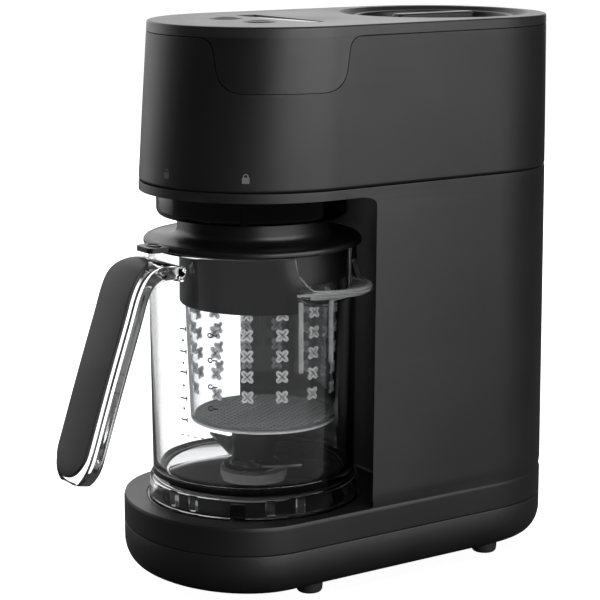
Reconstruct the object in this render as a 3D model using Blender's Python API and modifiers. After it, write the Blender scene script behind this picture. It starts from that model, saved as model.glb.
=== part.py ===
"""Baby food maker: a slim steamer-blender with a clear jug standing in a bay.

Millimetre dimensions are scaled by MM.  X is the width, -Y the front where the
jug handle points, +Z up.  The origin is on the table under the middle of the
whole object, handle included.
"""
import math

import bmesh
import bpy
from mathutils import Matrix, Vector

MM = 0.001
GAP = 0.3 * MM

# ---- heights of the case ----
FOOT_H = 7.2 * MM
PAN_Z0 = 7.5 * MM
PAN_Z1 = 30.8 * MM
BODY_Z0 = 31.1 * MM
DECK_Z = 46.4 * MM
DECK_UNDER_Z = 42.4 * MM
CEILING_Z = 219.0 * MM
CEILING_TOP_Z = 221.4 * MM
BODY_Z1 = 224.0 * MM
HEAD_Z0 = 224.3 * MM
HEAD_Z1 = 304.2 * MM
COVER_Z0 = 304.5 * MM
TOP_Z = 310.0 * MM
WALL = 2.4 * MM

# ---- plan of the case: half width, front tip, front centre, rear tip, rear centre ----
REAR_C = 87.0 * MM
BASE_PLAN = (68.0 * MM, -104.9 * MM, -49.7 * MM, 152.4 * MM, REAR_C)
NECK_PLAN = (66.6 * MM, -95.6 * MM, -23.0 * MM, 151.9 * MM, REAR_C)
TOP_PLAN = (65.3 * MM, -88.6 * MM, -23.0 * MM, 151.3 * MM, REAR_C)
REAR_POWER = 2.3
PLAN_STEPS = 16

# ---- axes ----
JUG_Y = -33.2 * MM
BASKET_Y = -26.6 * MM
CAP_Y = 91.5 * MM
MOTOR_Y = 95.0 * MM
LOCK_ANGLE = math.radians(48.0)

# ---- jug bay ----
BAY_R = 75.6 * MM
BAY_ROUND = 4.6 * MM

# ---- jug ----
JUG_BOTTOM_Z = 46.9 * MM
JUG_FLOOR_Z = 60.5 * MM
JUG_RIM_Z = 188.3 * MM
JUG_R_TOP = 57.6 * MM
JUG_R_LOW = 56.4 * MM
JUG_WALL = 2.9 * MM
SPOUT_ANGLE = math.radians(115.0)
SPOUT_REACH = 73.0 * MM

# ---- handle ----
STRAP_W = 38.0 * MM
STRAP_T = 8.4 * MM
INLAY_W = 31.0 * MM
INLAY_T = 2.2 * MM

# ---- lid and basket ----
LID_R = 60.2 * MM
LID_Z0 = 189.6 * MM
LID_Z1 = 192.6 * MM
NECK_R = 41.6 * MM
NECK_TOP_Z = 204.2 * MM
SKIRT_R = 46.4 * MM
SKIRT_Z = 155.0 * MM
BASKET_R_TOP = 44.0 * MM
BASKET_R_LOW = 41.0 * MM
BASKET_TOP_Z = 176.0 * MM
BASKET_FLOOR_Z = 89.8 * MM

# ---- tank cap ----
CAP_R = 46.0 * MM
CAP_CHAMFER_R = 54.2 * MM

# ---- top controls ----
TAB_ANGLE = math.radians(64.0)
BUTTON_X = 16.5 * MM
BUTTON_Y = -39.0 * MM
BUTTON_R = 8.5 * MM

for old in list(bpy.data.objects):
    bpy.data.objects.remove(old, do_unlink=True)

PARTS = bpy.data.collections.new("baby_food_maker")
CUTTERS = bpy.data.collections.new("cutters")
bpy.context.scene.collection.children.link(PARTS)
bpy.context.scene.collection.children.link(CUTTERS)


# ------------------------------------------------------------------ helpers
def material(name, colour, roughness, metallic=0.0, alpha=1.0):
    """Principled material of one piece."""
    mat = bpy.data.materials.new(name)
    mat.use_nodes = True
    shader = mat.node_tree.nodes["Principled BSDF"]
    shader.inputs["Base Color"].default_value = (*colour, 1.0)
    shader.inputs["Roughness"].default_value = roughness
    shader.inputs["Metallic"].default_value = metallic
    shader.inputs["Alpha"].default_value = alpha
    return mat


LOOKS = {
    "charcoal": ((0.035, 0.035, 0.037), 0.45, 0.0, 1.0),
    "gloss_black": ((0.01, 0.01, 0.012), 0.12, 0.0, 1.0),
    "clear": ((0.85, 0.9, 0.93), 0.05, 0.0, 0.35),
    "rubber": ((0.02, 0.02, 0.02), 0.8, 0.0, 1.0),
    "silicone": ((0.3, 0.3, 0.32), 0.6, 0.0, 1.0),
    "steel": ((0.62, 0.62, 0.63), 0.28, 1.0, 1.0),
    "cast": ((0.55, 0.56, 0.57), 0.5, 1.0, 1.0),
    "board": ((0.03, 0.16, 0.07), 0.5, 0.0, 1.0),
    "white_plastic": ((0.75, 0.75, 0.73), 0.5, 0.0, 1.0),
}


def new_object(name, mesh, collection):
    obj = bpy.data.objects.new(name, mesh)
    collection.objects.link(obj)
    return obj


def piece(name, mesh, look):
    """A real sub-part with its own material."""
    obj = new_object(name, mesh, PARTS)
    mesh.materials.clear()
    mesh.materials.append(material(name + "_material", *LOOKS[look]))
    return obj


def cutter(name, mesh):
    """A helper solid used only by Boolean modifiers."""
    obj = new_object(name, mesh, CUTTERS)
    obj.hide_render = True
    obj.display_type = "WIRE"
    return obj


def boolean(target, other, operation):
    mod = target.modifiers.new(operation.lower() + "_" + other.name, "BOOLEAN")
    mod.operation = operation
    mod.solver = "EXACT"
    mod.object = other


def cut(target, *others):
    for other in others:
        boolean(target, other, "DIFFERENCE")


def join(target, *others):
    for other in others:
        boolean(target, other, "UNION")


def smooth(obj, degrees=35.0):
    """Soft shading over the round faces, crisp at the edges."""
    mesh = obj.data
    mesh.shade_smooth()
    mesh.set_sharp_from_angle(angle=math.radians(degrees))
    return obj


def plan_ring(plan, z, inset=0.0):
    """Rounded outline of the case at height z, counter-clockwise."""
    half, front_tip, front_c, rear_tip, rear_c = plan
    half = half - inset
    front = front_c - front_tip - inset
    rear = rear_tip - rear_c - inset
    ring = []
    for i in range(PLAN_STEPS + 1):
        a = math.pi * (i / PLAN_STEPS - 0.5)
        ring.append((half * math.sin(a), front_c - front * math.cos(a), z))
    for i in range(PLAN_STEPS + 1):
        a = math.pi * i / PLAN_STEPS
        c = math.cos(a)
        s = math.sin(a)
        x = half * math.copysign(abs(c) ** (2 / REAR_POWER), c)
        y = rear_c + rear * abs(s) ** (2 / REAR_POWER)
        ring.append((x, y, z))
    return ring


def blend(plan_a, plan_b, t):
    return tuple(a + (b - a) * t for a, b in zip(plan_a, plan_b))


def case_plan(z):
    """Plan of the upper case at height z, drafted between the neck and the top."""
    t = (z - HEAD_Z0) / (TOP_Z - HEAD_Z0)
    return blend(NECK_PLAN, TOP_PLAN, t)


def loft(name, rings):
    """Closed solid through equal rings of points, first and last ring capped."""
    bm = bmesh.new()
    rows = [[bm.verts.new(p) for p in ring] for ring in rings]
    count = len(rows[0])
    for low, high in zip(rows, rows[1:]):
        for i in range(count):
            j = (i + 1) % count
            bm.faces.new((low[i], low[j], high[j], high[i]))
    bm.faces.new(list(reversed(rows[0])))
    bm.faces.new(rows[-1])
    bmesh.ops.recalc_face_normals(bm, faces=bm.faces)
    mesh = bpy.data.meshes.new(name)
    bm.to_mesh(mesh)
    bm.free()
    return mesh


def prism(name, outline, z0, z1):
    """Straight-sided solid over a plan outline."""
    return loft(name, [[(x, y, z0) for x, y in outline], [(x, y, z1) for x, y in outline]])


def box(name, centre, size, bevel=0.0):
    bm = bmesh.new()
    bmesh.ops.create_cube(bm, size=1.0)
    bmesh.ops.scale(bm, vec=size, verts=bm.verts)
    if bevel:
        bmesh.ops.bevel(bm, geom=bm.edges[:], offset=bevel, segments=2, affect="EDGES")
    bmesh.ops.translate(bm, vec=centre, verts=bm.verts)
    mesh = bpy.data.meshes.new(name)
    bm.to_mesh(mesh)
    bm.free()
    return mesh


def rod(name, centre, radius, z0, z1, segments=32):
    """Round bar or round hole cutter standing on Z."""
    bm = bmesh.new()
    bmesh.ops.create_cone(
        bm, cap_ends=True, segments=segments, radius1=radius, radius2=radius, depth=z1 - z0
    )
    bmesh.ops.translate(bm, vec=(centre[0], centre[1], (z0 + z1) / 2), verts=bm.verts)
    mesh = bpy.data.meshes.new(name)
    bm.to_mesh(mesh)
    bm.free()
    return mesh


def turned(name, profile, closed, look, centre, steps=32):
    """Turned piece: the profile (radius, height) spins about a Z axis."""
    bm = bmesh.new()
    verts = [bm.verts.new((r, 0.0, z)) for r, z in profile]
    for a, b in zip(verts, verts[1:]):
        bm.edges.new((a, b))
    if closed:
        bm.edges.new((verts[-1], verts[0]))
    mesh = bpy.data.meshes.new(name)
    bm.to_mesh(mesh)
    bm.free()
    obj = piece(name, mesh, look) if look else cutter(name, mesh)
    obj.location = (centre[0], centre[1], 0.0)
    screw = obj.modifiers.new("turn", "SCREW")
    screw.steps = steps
    screw.render_steps = steps
    screw.use_merge_vertices = True
    screw.merge_threshold = 0.00005
    screw.use_smooth_shade = False
    return obj


def ring_profile(r_in, r_out, z0, z1):
    """Profile of a plain ring, outer side first, from the top down."""
    return [(r_out, z1), (r_out, z0), (r_in, z0), (r_in, z1)]


def tube(name, route, radius, look):
    """Bent pipe along a smooth route, with filled ends."""
    curve = bpy.data.curves.new(name, "CURVE")
    curve.dimensions = "3D"
    curve.bevel_depth = radius
    curve.bevel_resolution = 2
    curve.use_fill_caps = True
    curve.resolution_u = 5
    spline = curve.splines.new("BEZIER")
    spline.bezier_points.add(len(route) - 1)
    for point, co in zip(spline.bezier_points, route):
        point.co = co
        point.handle_left_type = "AUTO"
        point.handle_right_type = "AUTO"
    temp = new_object(name + "_route", curve, CUTTERS)
    bpy.context.view_layer.update()
    depsgraph = bpy.context.evaluated_depsgraph_get()
    mesh = bpy.data.meshes.new_from_object(temp.evaluated_get(depsgraph))
    bpy.data.objects.remove(temp, do_unlink=True)
    bm = bmesh.new()
    bm.from_mesh(mesh)
    bmesh.ops.remove_doubles(bm, verts=bm.verts, dist=0.00001)
    bm.to_mesh(mesh)
    bm.free()
    mesh.name = name
    return smooth(piece(name, mesh, look))


def set_origin(obj, point):
    """Move the object's origin onto its joint axis without moving its surface."""
    point = Vector(point)
    obj.data.transform(Matrix.Translation(obj.location - point))
    obj.location = point


# ------------------------------------------------------------------ case
def build_base_pan():
    outer = [
        plan_ring(BASE_PLAN, PAN_Z0, 9.0 * MM),
        plan_ring(BASE_PLAN, 9.6 * MM, 5.6 * MM),
        plan_ring(BASE_PLAN, 14.0 * MM, 2.6 * MM),
        plan_ring(BASE_PLAN, 21.0 * MM, 0.6 * MM),
        plan_ring(BASE_PLAN, PAN_Z1),
    ]
    inner = [
        plan_ring(BASE_PLAN, PAN_Z0 + WALL, 9.0 * MM + WALL),
        plan_ring(BASE_PLAN, 14.0 * MM, 2.8 * MM + WALL),
        plan_ring(BASE_PLAN, 21.0 * MM, 0.6 * MM + WALL),
        plan_ring(BASE_PLAN, PAN_Z1 + 1.0 * MM, WALL),
    ]
    pan = piece("base_pan", loft("base_pan", outer), "charcoal")
    cut(pan, cutter("pan_hollow", loft("pan_hollow", inner)))
    return smooth(pan)


def bay_outline(grow):
    """Plan of the open jug bay, its back wall an arc about the jug axis."""
    outline = []
    radius = BAY_R + grow
    reach = math.radians(72.0)
    for i in range(25):
        a = reach - 2 * reach * i / 24
        outline.append((radius * math.sin(a), JUG_Y + radius * math.cos(a)))
    y_side = outline[0][1]
    outline.append((-90.0 * MM, y_side))
    outline.append((-90.0 * MM, -130.0 * MM))
    outline.append((90.0 * MM, -130.0 * MM))
    outline.append((90.0 * MM, y_side))
    return outline


def build_body():
    rings = [
        plan_ring(BASE_PLAN, BODY_Z0),
        plan_ring(BASE_PLAN, DECK_Z - 2.0 * MM),
        plan_ring(BASE_PLAN, DECK_Z, 0.2 * MM),
        plan_ring(NECK_PLAN, CEILING_Z),
        plan_ring(NECK_PLAN, BODY_Z1),
    ]
    body = piece("body_housing", loft("body_housing", rings), "charcoal")
    hollow_rings = [
        plan_ring(BASE_PLAN, BODY_Z0 - 1.0 * MM, WALL),
        plan_ring(BASE_PLAN, DECK_Z, 0.2 * MM + WALL),
        plan_ring(NECK_PLAN, CEILING_Z, WALL),
        plan_ring(NECK_PLAN, BODY_Z1 + 1.0 * MM, WALL),
    ]
    hollow = cutter("body_hollow", loft("body_hollow", hollow_rings))
    skin = cutter("bay_skin", prism("bay_skin", bay_outline(WALL), DECK_UNDER_Z, CEILING_TOP_Z))
    cut(hollow, skin)
    bay_mesh = prism("bay", bay_outline(0.0), DECK_Z, CEILING_Z)
    bay = cutter("bay", bay_mesh)
    bm = bmesh.new()
    bm.from_mesh(bay_mesh)
    top_edges = []
    for edge in bm.edges:
        heights = [v.co.z for v in edge.verts]
        if min(heights) > CEILING_Z - 0.1 * MM and max(v.co.y for v in edge.verts) > -12.0 * MM:
            top_edges.append(edge)
    bmesh.ops.bevel(bm, geom=top_edges, offset=BAY_ROUND, segments=3, affect="EDGES")
    bm.to_mesh(bay_mesh)
    bm.free()
    cut(body, hollow, bay)
    groove = turned("lock_ring_groove", ring_profile(49.7 * MM, 60.3 * MM, 44.2 * MM, 50.0 * MM),
                    True, None, (0.0, JUG_Y))
    pocket = cutter("drive_pocket",
                    rod("drive_pocket", (0.0, JUG_Y), 21.0 * MM, 40.0 * MM, 45.2 * MM))
    nozzle_hole = cutter("nozzle_hole",
                         rod("nozzle_hole", (0.0, JUG_Y), 9.3 * MM, 215.0 * MM, 230.0 * MM))
    gland_mesh = rod("gland_hole", (0.0, 0.0), 5.8 * MM, -12.0 * MM, 12.0 * MM, 20)
    gland_mesh.transform(Matrix.Rotation(math.radians(90.0), 4, "X"))
    gland_mesh.transform(Matrix.Translation((30.0 * MM, 146.0 * MM, 38.5 * MM)))
    gland_hole = cutter("gland_hole", gland_mesh)
    cut(body, groove, pocket, nozzle_hole, gland_hole)
    return smooth(body)


def tab_outline(grow):
    """Front of the cover's drop-down tab, (across, height), widest at the top."""
    half = [
        (41.0, 306.5), (41.0, 304.4), (37.6, 302.8), (35.6, 299.0), (34.4, 290.0),
        (32.2, 281.6), (27.5, 277.2), (21.0, 275.8),
    ]
    right = [(u * MM + grow, z * MM - grow) for u, z in half]
    left = [(-u, z) for u, z in reversed(right)]
    return right + left


def tab_prism(name, grow):
    """The tab outline pushed straight through the curved wall at its angle."""
    across = Vector((math.cos(TAB_ANGLE), math.sin(TAB_ANGLE), 0.0))
    out = Vector((math.sin(TAB_ANGLE), -math.cos(TAB_ANGLE), 0.0))
    centre = Vector((0.0, NECK_PLAN[2], 0.0))
    rings = []
    for depth in (30.0 * MM, 90.0 * MM):
        ring = []
        for u, z in tab_outline(grow):
            ring.append(tuple(centre + across * u + out * depth + Vector((0.0, 0.0, z))))
        rings.append(ring)
    return loft(name, rings)


def build_head():
    rings = []
    hollow_rings = []
    for z in (HEAD_Z0, 265.0 * MM, HEAD_Z1):
        rings.append(plan_ring(case_plan(z), z))
    for z in (HEAD_Z0 - 1.0 * MM, 265.0 * MM, HEAD_Z1 + 1.0 * MM):
        hollow_rings.append(plan_ring(case_plan(z), z, WALL))
    head = piece("head_housing", loft("head_housing", rings), "charcoal")
    cut(head, cutter("head_hollow", loft("head_hollow", hollow_rings)))
    cut(head, cutter("tab_notch", tab_prism("tab_notch", 0.35 * MM)))
    return smooth(head)


def build_top_cover():
    edge = 1.4 * MM
    rings = [
        plan_ring(case_plan(COVER_Z0), COVER_Z0),
        plan_ring(case_plan(TOP_Z - edge), TOP_Z - edge),
        plan_ring(case_plan(TOP_Z), TOP_Z - 0.4 * edge, 0.4 * edge),
        plan_ring(case_plan(TOP_Z), TOP_Z, edge),
    ]
    cover = piece("top_cover", loft("top_cover", rings), "charcoal")
    hollow = [
        plan_ring(case_plan(COVER_Z0), COVER_Z0 - 1.0 * MM, WALL),
        plan_ring(case_plan(TOP_Z), TOP_Z - 2.8 * MM, WALL),
    ]
    cut(cover, cutter("cover_hollow", loft("cover_hollow", hollow)))
    low = 270.0 * MM
    high = 308.0 * MM
    wall_rings = [plan_ring(case_plan(z), z) for z in (low, high)]
    wall_hollow = [plan_ring(case_plan(z), z, WALL) for z in (low - MM, high + MM)]
    tab = cutter("cover_tab", loft("cover_tab", wall_rings))
    cut(tab, cutter("cover_tab_hollow", loft("cover_tab_hollow", wall_hollow)))
    boolean(tab, cutter("cover_tab_front", tab_prism("cover_tab_front", 0.0)), "INTERSECT")
    join(cover, tab)
    chamfer = [
        (CAP_CHAMFER_R + 0.6 * MM, TOP_Z + 0.6 * MM),
        (CAP_R + 0.8 * MM, 302.6 * MM),
    ]
    collar = turned("cap_seat", [
        (CAP_CHAMFER_R + 2.4 * MM, 309.0 * MM),
        (CAP_R + 3.4 * MM, 299.6 * MM),
        (CAP_R + 0.4 * MM, 299.6 * MM),
        (CAP_R + 0.4 * MM, 309.0 * MM),
    ], True, None, (0.0, CAP_Y))
    join(cover, collar)
    opening = turned("cap_opening", [
        (0.0, TOP_Z + 0.6 * MM),
        chamfer[0],
        chamfer[1],
        (CAP_R + 0.6 * MM, 290.0 * MM),
        (0.0, 290.0 * MM),
    ], False, None, (0.0, CAP_Y))
    cut(cover, opening)
    window = cutter("window_pocket", box(
        "window_pocket", (0.0, -15.0 * MM, 310.0 * MM), (68.6 * MM, 12.6 * MM, 3.0 * MM)))
    cut(cover, window)
    slot = cutter("window_slot", box(
        "window_slot", (0.0, -15.0 * MM, 308.0 * MM), (56.0 * MM, 7.0 * MM, 8.0 * MM)))
    cut(cover, slot)
    for side, tag in ((-1, "left"), (1, "right")):
        hole = rod("button_hole_" + tag, (side * BUTTON_X, BUTTON_Y), BUTTON_R + 0.35 * MM,
                   300.0 * MM, 315.0 * MM)
        cut(cover, cutter("button_hole_" + tag, hole))
    return smooth(cover)


def build_feet():
    places = [(-48.9, -29.0), (48.9, -29.0), (-48.9, 95.2), (48.9, 95.2)]
    pan = bpy.data.objects["base_pan"]
    for i, (x, y) in enumerate(places, 1):
        profile = [
            (0.0, 12.6 * MM), (2.6 * MM, 12.2 * MM), (3.6 * MM, 10.4 * MM),
            (2.4 * MM, 10.2 * MM), (2.4 * MM, FOOT_H), (7.5 * MM, FOOT_H),
            (7.1 * MM, 1.0 * MM), (6.2 * MM, 0.0), (0.0, 0.0),
        ]
        turned("foot_%d" % i, profile, False, "rubber", (x * MM, y * MM), 16)
        hole = rod("foot_hole_%d" % i, (x * MM, y * MM), 2.7 * MM, 5.0 * MM, 15.0 * MM, 20)
        cut(pan, cutter("foot_hole_%d" % i, hole))
    for i, (x, y) in enumerate([(-30.0, -70.0), (30.0, -70.0), (-36.0, 122.0), (36.0, 122.0)], 1):
        profile = [
            (0.0, 30.0 * MM), (1.6 * MM, 29.0 * MM), (1.6 * MM, 10.2 * MM),
            (3.6 * MM, 9.4 * MM), (3.6 * MM, 8.0 * MM), (0.0, 8.0 * MM),
        ]
        turned("case_screw_%d" % i, profile, False, "steel", (x * MM, y * MM), 8)
        hole = rod("screw_hole_%d" % i, (x * MM, y * MM), 4.0 * MM, 5.0 * MM, 15.0 * MM, 16)
        cut(pan, cutter("screw_hole_%d" % i, hole))


# ------------------------------------------------------------------ top controls
def build_controls():
    lens = box("display_window", (0.0, -15.0 * MM, 309.2 * MM), (68.0 * MM, 12.0 * MM, 1.0 * MM))
    piece("display_window", lens, "gloss_black")
    module = box("display_module", (0.0, -15.0 * MM, 300.6 * MM), (52.0 * MM, 14.0 * MM, 9.0 * MM))
    piece("display_module", module, "white_plastic")
    board = box("control_board", (0.0, -30.0 * MM, 295.0 * MM), (92.0 * MM, 56.0 * MM, 1.6 * MM))
    piece("control_board", board, "board")
    for side, tag in ((-1, "left"), (1, "right")):
        x = side * BUTTON_X
        profile = [
            (0.0, 310.5 * MM), (BUTTON_R - 1.2 * MM, 310.4 * MM), (BUTTON_R, 309.7 * MM),
            (BUTTON_R, 306.0 * MM), (3.0 * MM, 306.0 * MM), (3.0 * MM, 302.3 * MM),
            (0.0, 302.3 * MM),
        ]
        turned("button_" + tag, profile, False, "charcoal", (x, BUTTON_Y), 28)
        switch = box("button_switch_" + tag, (x, BUTTON_Y, 298.4 * MM),
                     (7.0 * MM, 7.0 * MM, 4.6 * MM))
        piece("button_switch_" + tag, switch, "gloss_black")


# ------------------------------------------------------------------ water side
def tank_rings(levels):
    """Rounded-box outlines of the water tank at (height, inset) levels."""
    rings = []
    for z, inset in levels:
        ring = []
        for i in range(32):
            a = 2 * math.pi * i / 32
            c = math.cos(a)
            s = math.sin(a)
            x = (55.0 - inset) * math.copysign(abs(c) ** 0.62, c)
            y = (50.0 - inset) * math.copysign(abs(s) ** 0.62, s)
            ring.append((x * MM, (y + 87.0) * MM, z * MM))
        rings.append(ring)
    return rings


def build_tank():
    cap = turned("tank_cap", [
        (0.0, 298.2 * MM), (42.6 * MM, 298.2 * MM), (44.0 * MM, 308.2 * MM),
        (CAP_R, 308.2 * MM), (CAP_R, 295.4 * MM), (38.6 * MM, 295.4 * MM),
        (38.6 * MM, 289.2 * MM), (36.4 * MM, 289.2 * MM), (36.4 * MM, 295.4 * MM),
        (0.0, 295.4 * MM),
    ], False, "charcoal", (0.0, CAP_Y))
    grip = box("cap_grip", (0.0, CAP_Y, 303.4 * MM), (10.0 * MM, 56.0 * MM, 12.4 * MM), 1.6 * MM)
    grip_cutter = cutter("cap_grip", grip)
    join(cap, grip_cutter)
    turned("cap_gasket", ring_profile(39.0 * MM, 40.6 * MM, 291.0 * MM, 294.6 * MM), True,
           "silicone", (0.0, CAP_Y))
    tank_levels = ((231.0, 3.0), (233.5, 0.0), (280.0, 0.0), (283.0, 2.0))
    inner_levels = ((233.0, 5.0), (235.0, 2.0), (279.0, 2.0), (281.0, 4.0))
    tank = piece("water_tank", loft("water_tank", tank_rings(tank_levels)), "clear")
    neck = turned("tank_neck", ring_profile(34.0 * MM, 43.4 * MM, 281.6 * MM, 294.9 * MM), True,
                  None, (0.0, CAP_Y))
    join(tank, neck)
    cut(tank, cutter("tank_hollow", loft("tank_hollow", tank_rings(inner_levels))))
    cut(tank, cutter("tank_mouth", rod("tank_mouth", (0.0, CAP_Y), 41.0 * MM, 275.0 * MM,
                                       300.0 * MM, 40)))
    outlet = rod("tank_outlet", (30.0 * MM, 110.0 * MM), 2.2 * MM, 225.0 * MM, 240.0 * MM, 16)
    cut(tank, cutter("tank_outlet", outlet))
    smooth(tank)


def build_steam():
    pump = box("water_pump", (30.0 * MM, 110.0 * MM, 192.0 * MM), (26.0 * MM, 30.0 * MM, 40.0 * MM),
               2.0 * MM)
    piece("water_pump", pump, "white_plastic")
    boiler = box("boiler", (0.0, 100.0 * MM, 142.0 * MM), (74.0 * MM, 44.0 * MM, 34.0 * MM),
                 4.0 * MM)
    piece("boiler", boiler, "cast")
    tube("tank_hose", [(30.0 * MM, 110.0 * MM, 230.6 * MM), (30.0 * MM, 110.0 * MM, 221.0 * MM),
                       (30.0 * MM, 110.0 * MM, 212.4 * MM)], 3.0 * MM, "silicone")
    tube("pump_hose", [(30.0 * MM, 110.0 * MM, 171.6 * MM), (30.0 * MM, 110.0 * MM, 159.4 * MM)],
         3.0 * MM, "silicone")
    tube("steam_tube", [
        (-20.0 * MM, 100.0 * MM, 159.8 * MM), (-20.0 * MM, 99.6 * MM, 190.0 * MM),
        (-20.0 * MM, 84.0 * MM, 216.0 * MM), (-14.0 * MM, 60.0 * MM, 224.2 * MM),
        (-5.0 * MM, 20.0 * MM, 226.2 * MM), (0.0, -6.0 * MM, 228.6 * MM),
        (0.0, -23.4 * MM, 230.4 * MM),
    ], 3.4 * MM, "silicone")
    nozzle = turned("steam_nozzle", [
        (0.0, 236.0 * MM), (9.2 * MM, 236.0 * MM), (9.2 * MM, 223.4 * MM),
        (15.5 * MM, 223.4 * MM), (15.5 * MM, 221.7 * MM), (9.0 * MM, 221.7 * MM),
        (8.4 * MM, 207.4 * MM), (4.0 * MM, 207.4 * MM), (4.0 * MM, 231.0 * MM),
        (0.0, 231.0 * MM),
    ], False, "white_plastic", (0.0, JUG_Y), 24)
    turned("nozzle_seal", ring_profile(8.9 * MM, 12.4 * MM, 207.4 * MM, 211.6 * MM), True,
           "silicone", (0.0, JUG_Y), 24)
    collar = turned("steam_collar", [
        (53.0 * MM, 218.7 * MM), (53.0 * MM, 207.4 * MM), (51.4 * MM, 205.0 * MM),
        (46.0 * MM, 205.0 * MM), (44.4 * MM, 206.6 * MM), (44.4 * MM, 218.7 * MM),
    ], True, "gloss_black", (0.0, JUG_Y))
    for angle, tag in ((48.0, "a"), (95.0, "b")):
        a = math.radians(angle)
        slot = box("collar_slot_" + tag, (0.0, 0.0, 212.0 * MM), (4.0 * MM, 3.0 * MM, 16.0 * MM))
        slot.transform(Matrix.Translation((0.0, -53.2 * MM, 0.0)))
        slot.transform(Matrix.Rotation(a, 4, "Z"))
        slot.transform(Matrix.Translation((0.0, JUG_Y, 0.0)))
        cut(collar, cutter("collar_slot_" + tag, slot))
    return nozzle


# ------------------------------------------------------------------ drive side
def belt_outline(r_front, r_rear, steps=14):
    """Outline round two pulleys, the front one on the jug axis."""
    outline = []
    for i in range(steps + 1):
        a = math.pi + math.pi * i / steps
        outline.append((r_front * math.cos(a), JUG_Y + r_front * math.sin(a)))
    for i in range(steps + 1):
        a = math.pi * i / steps
        outline.append((r_rear * math.cos(a), MOTOR_Y + r_rear * math.sin(a)))
    return outline


def build_drive():
    motor = turned("motor", [
        (0.0, 112.0 * MM), (22.0 * MM, 112.0 * MM), (28.0 * MM, 108.0 * MM),
        (28.0 * MM, 53.0 * MM), (24.0 * MM, 49.6 * MM), (7.0 * MM, 49.6 * MM),
        (7.0 * MM, 52.0 * MM), (0.0, 52.0 * MM),
    ], False, "steel", (0.0, MOTOR_Y), 32)
    mount = piece("motor_mount", box(
        "motor_mount", (0.0, MOTOR_Y, 47.6 * MM), (96.0 * MM, 76.0 * MM, 3.2 * MM)), "cast")
    cut(mount, cutter("motor_mount_hole", rod(
        "motor_mount_hole", (0.0, MOTOR_Y), 6.8 * MM, 40.0 * MM, 60.0 * MM, 24)))
    turned("motor_pulley", [
        (0.0, 51.6 * MM), (2.5 * MM, 51.6 * MM), (2.5 * MM, 41.0 * MM), (10.5 * MM, 40.6 * MM),
        (10.5 * MM, 39.2 * MM), (8.0 * MM, 38.6 * MM), (8.0 * MM, 33.4 * MM),
        (10.5 * MM, 32.8 * MM), (10.5 * MM, 31.4 * MM), (0.0, 31.4 * MM),
    ], False, "steel", (0.0, MOTOR_Y), 20)
    outer = belt_outline(22.0 * MM, 10.0 * MM)
    inner = belt_outline(20.4 * MM, 8.4 * MM)
    belt = piece("drive_belt", prism("drive_belt", outer, 34.0 * MM, 38.0 * MM), "rubber")
    cut(belt, cutter("belt_inside", prism("belt_inside", inner, 30.0 * MM, 42.0 * MM)))
    turned("drive_hub", [
        (0.0, 44.8 * MM), (9.6 * MM, 44.8 * MM), (9.6 * MM, 42.6 * MM), (15.4 * MM, 42.6 * MM),
        (15.4 * MM, 44.8 * MM), (18.0 * MM, 44.8 * MM), (18.0 * MM, 41.0 * MM),
        (22.6 * MM, 40.6 * MM), (22.6 * MM, 39.2 * MM), (20.0 * MM, 38.6 * MM),
        (20.0 * MM, 33.4 * MM), (22.6 * MM, 32.8 * MM), (22.6 * MM, 31.4 * MM),
        (6.0 * MM, 31.4 * MM), (4.0 * MM, 29.0 * MM), (4.0 * MM, 12.0 * MM), (0.0, 12.0 * MM),
    ], False, "white_plastic", (0.0, JUG_Y), 24)
    turned("drive_magnet", ring_profile(9.9 * MM, 15.1 * MM, 42.9 * MM, 44.7 * MM), True,
           "cast", (0.0, JUG_Y), 24)
    turned("drive_bearing", ring_profile(4.3 * MM, 11.0 * MM, 14.0 * MM, 21.0 * MM), True,
           "steel", (0.0, JUG_Y), 24)
    turned("bearing_carrier", [
        (14.4 * MM, 22.4 * MM), (14.4 * MM, 12.4 * MM), (24.0 * MM, 12.0 * MM),
        (24.0 * MM, 10.2 * MM), (5.0 * MM, 10.2 * MM), (5.0 * MM, 13.7 * MM),
        (11.3 * MM, 13.7 * MM), (11.3 * MM, 22.4 * MM),
    ], True, "white_plastic", (0.0, JUG_Y), 24)
    board = box("main_board", (0.0, 138.0 * MM, 120.0 * MM), (70.0 * MM, 1.6 * MM, 100.0 * MM))
    piece("main_board", board, "board")
    switch = box("lock_switch", (26.0 * MM, -80.0 * MM, 37.5 * MM), (16.0 * MM, 8.0 * MM, 8.0 * MM))
    piece("lock_switch", switch, "gloss_black")
    gland = rod("cord_gland", (0.0, 0.0), 5.5 * MM, -5.0 * MM, 7.0 * MM, 24)
    gland.transform(Matrix.Rotation(math.radians(90.0), 4, "X"))
    gland.transform(Matrix.Translation((30.0 * MM, 142.5 * MM, 38.5 * MM)))
    gland_obj = piece("cord_gland", gland, "rubber")
    bore = rod("gland_bore", (0.0, 0.0), 3.2 * MM, -20.0 * MM, 20.0 * MM, 20)
    bore.transform(Matrix.Rotation(math.radians(90.0), 4, "X"))
    bore.transform(Matrix.Translation((30.0 * MM, 146.0 * MM, 38.5 * MM)))
    cut(gland_obj, cutter("gland_bore", bore))
    return motor


# ------------------------------------------------------------------ jug
def strap_path(offset):
    """Side view of the handle strap: points and outward normals, root to free end."""
    spine = [
        (-88.6, 178.6), (-96.0, 180.2), (-104.0, 179.6), (-110.0, 176.0), (-114.2, 169.0),
        (-118.6, 156.0), (-123.8, 141.0), (-130.0, 123.0), (-136.0, 105.0), (-141.6, 88.0),
        (-145.9, 76.0), (-147.3, 69.5),
    ]
    points = [Vector((0.0, y * MM, z * MM)) for y, z in spine]
    result = []
    for i, point in enumerate(points):
        before = points[max(i - 1, 0)]
        after = points[min(i + 1, len(points) - 1)]
        along = (after - before).normalized()
        outward = Vector((0.0, along.z, -along.y))
        result.append((point + outward * offset, outward))
    return result


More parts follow.
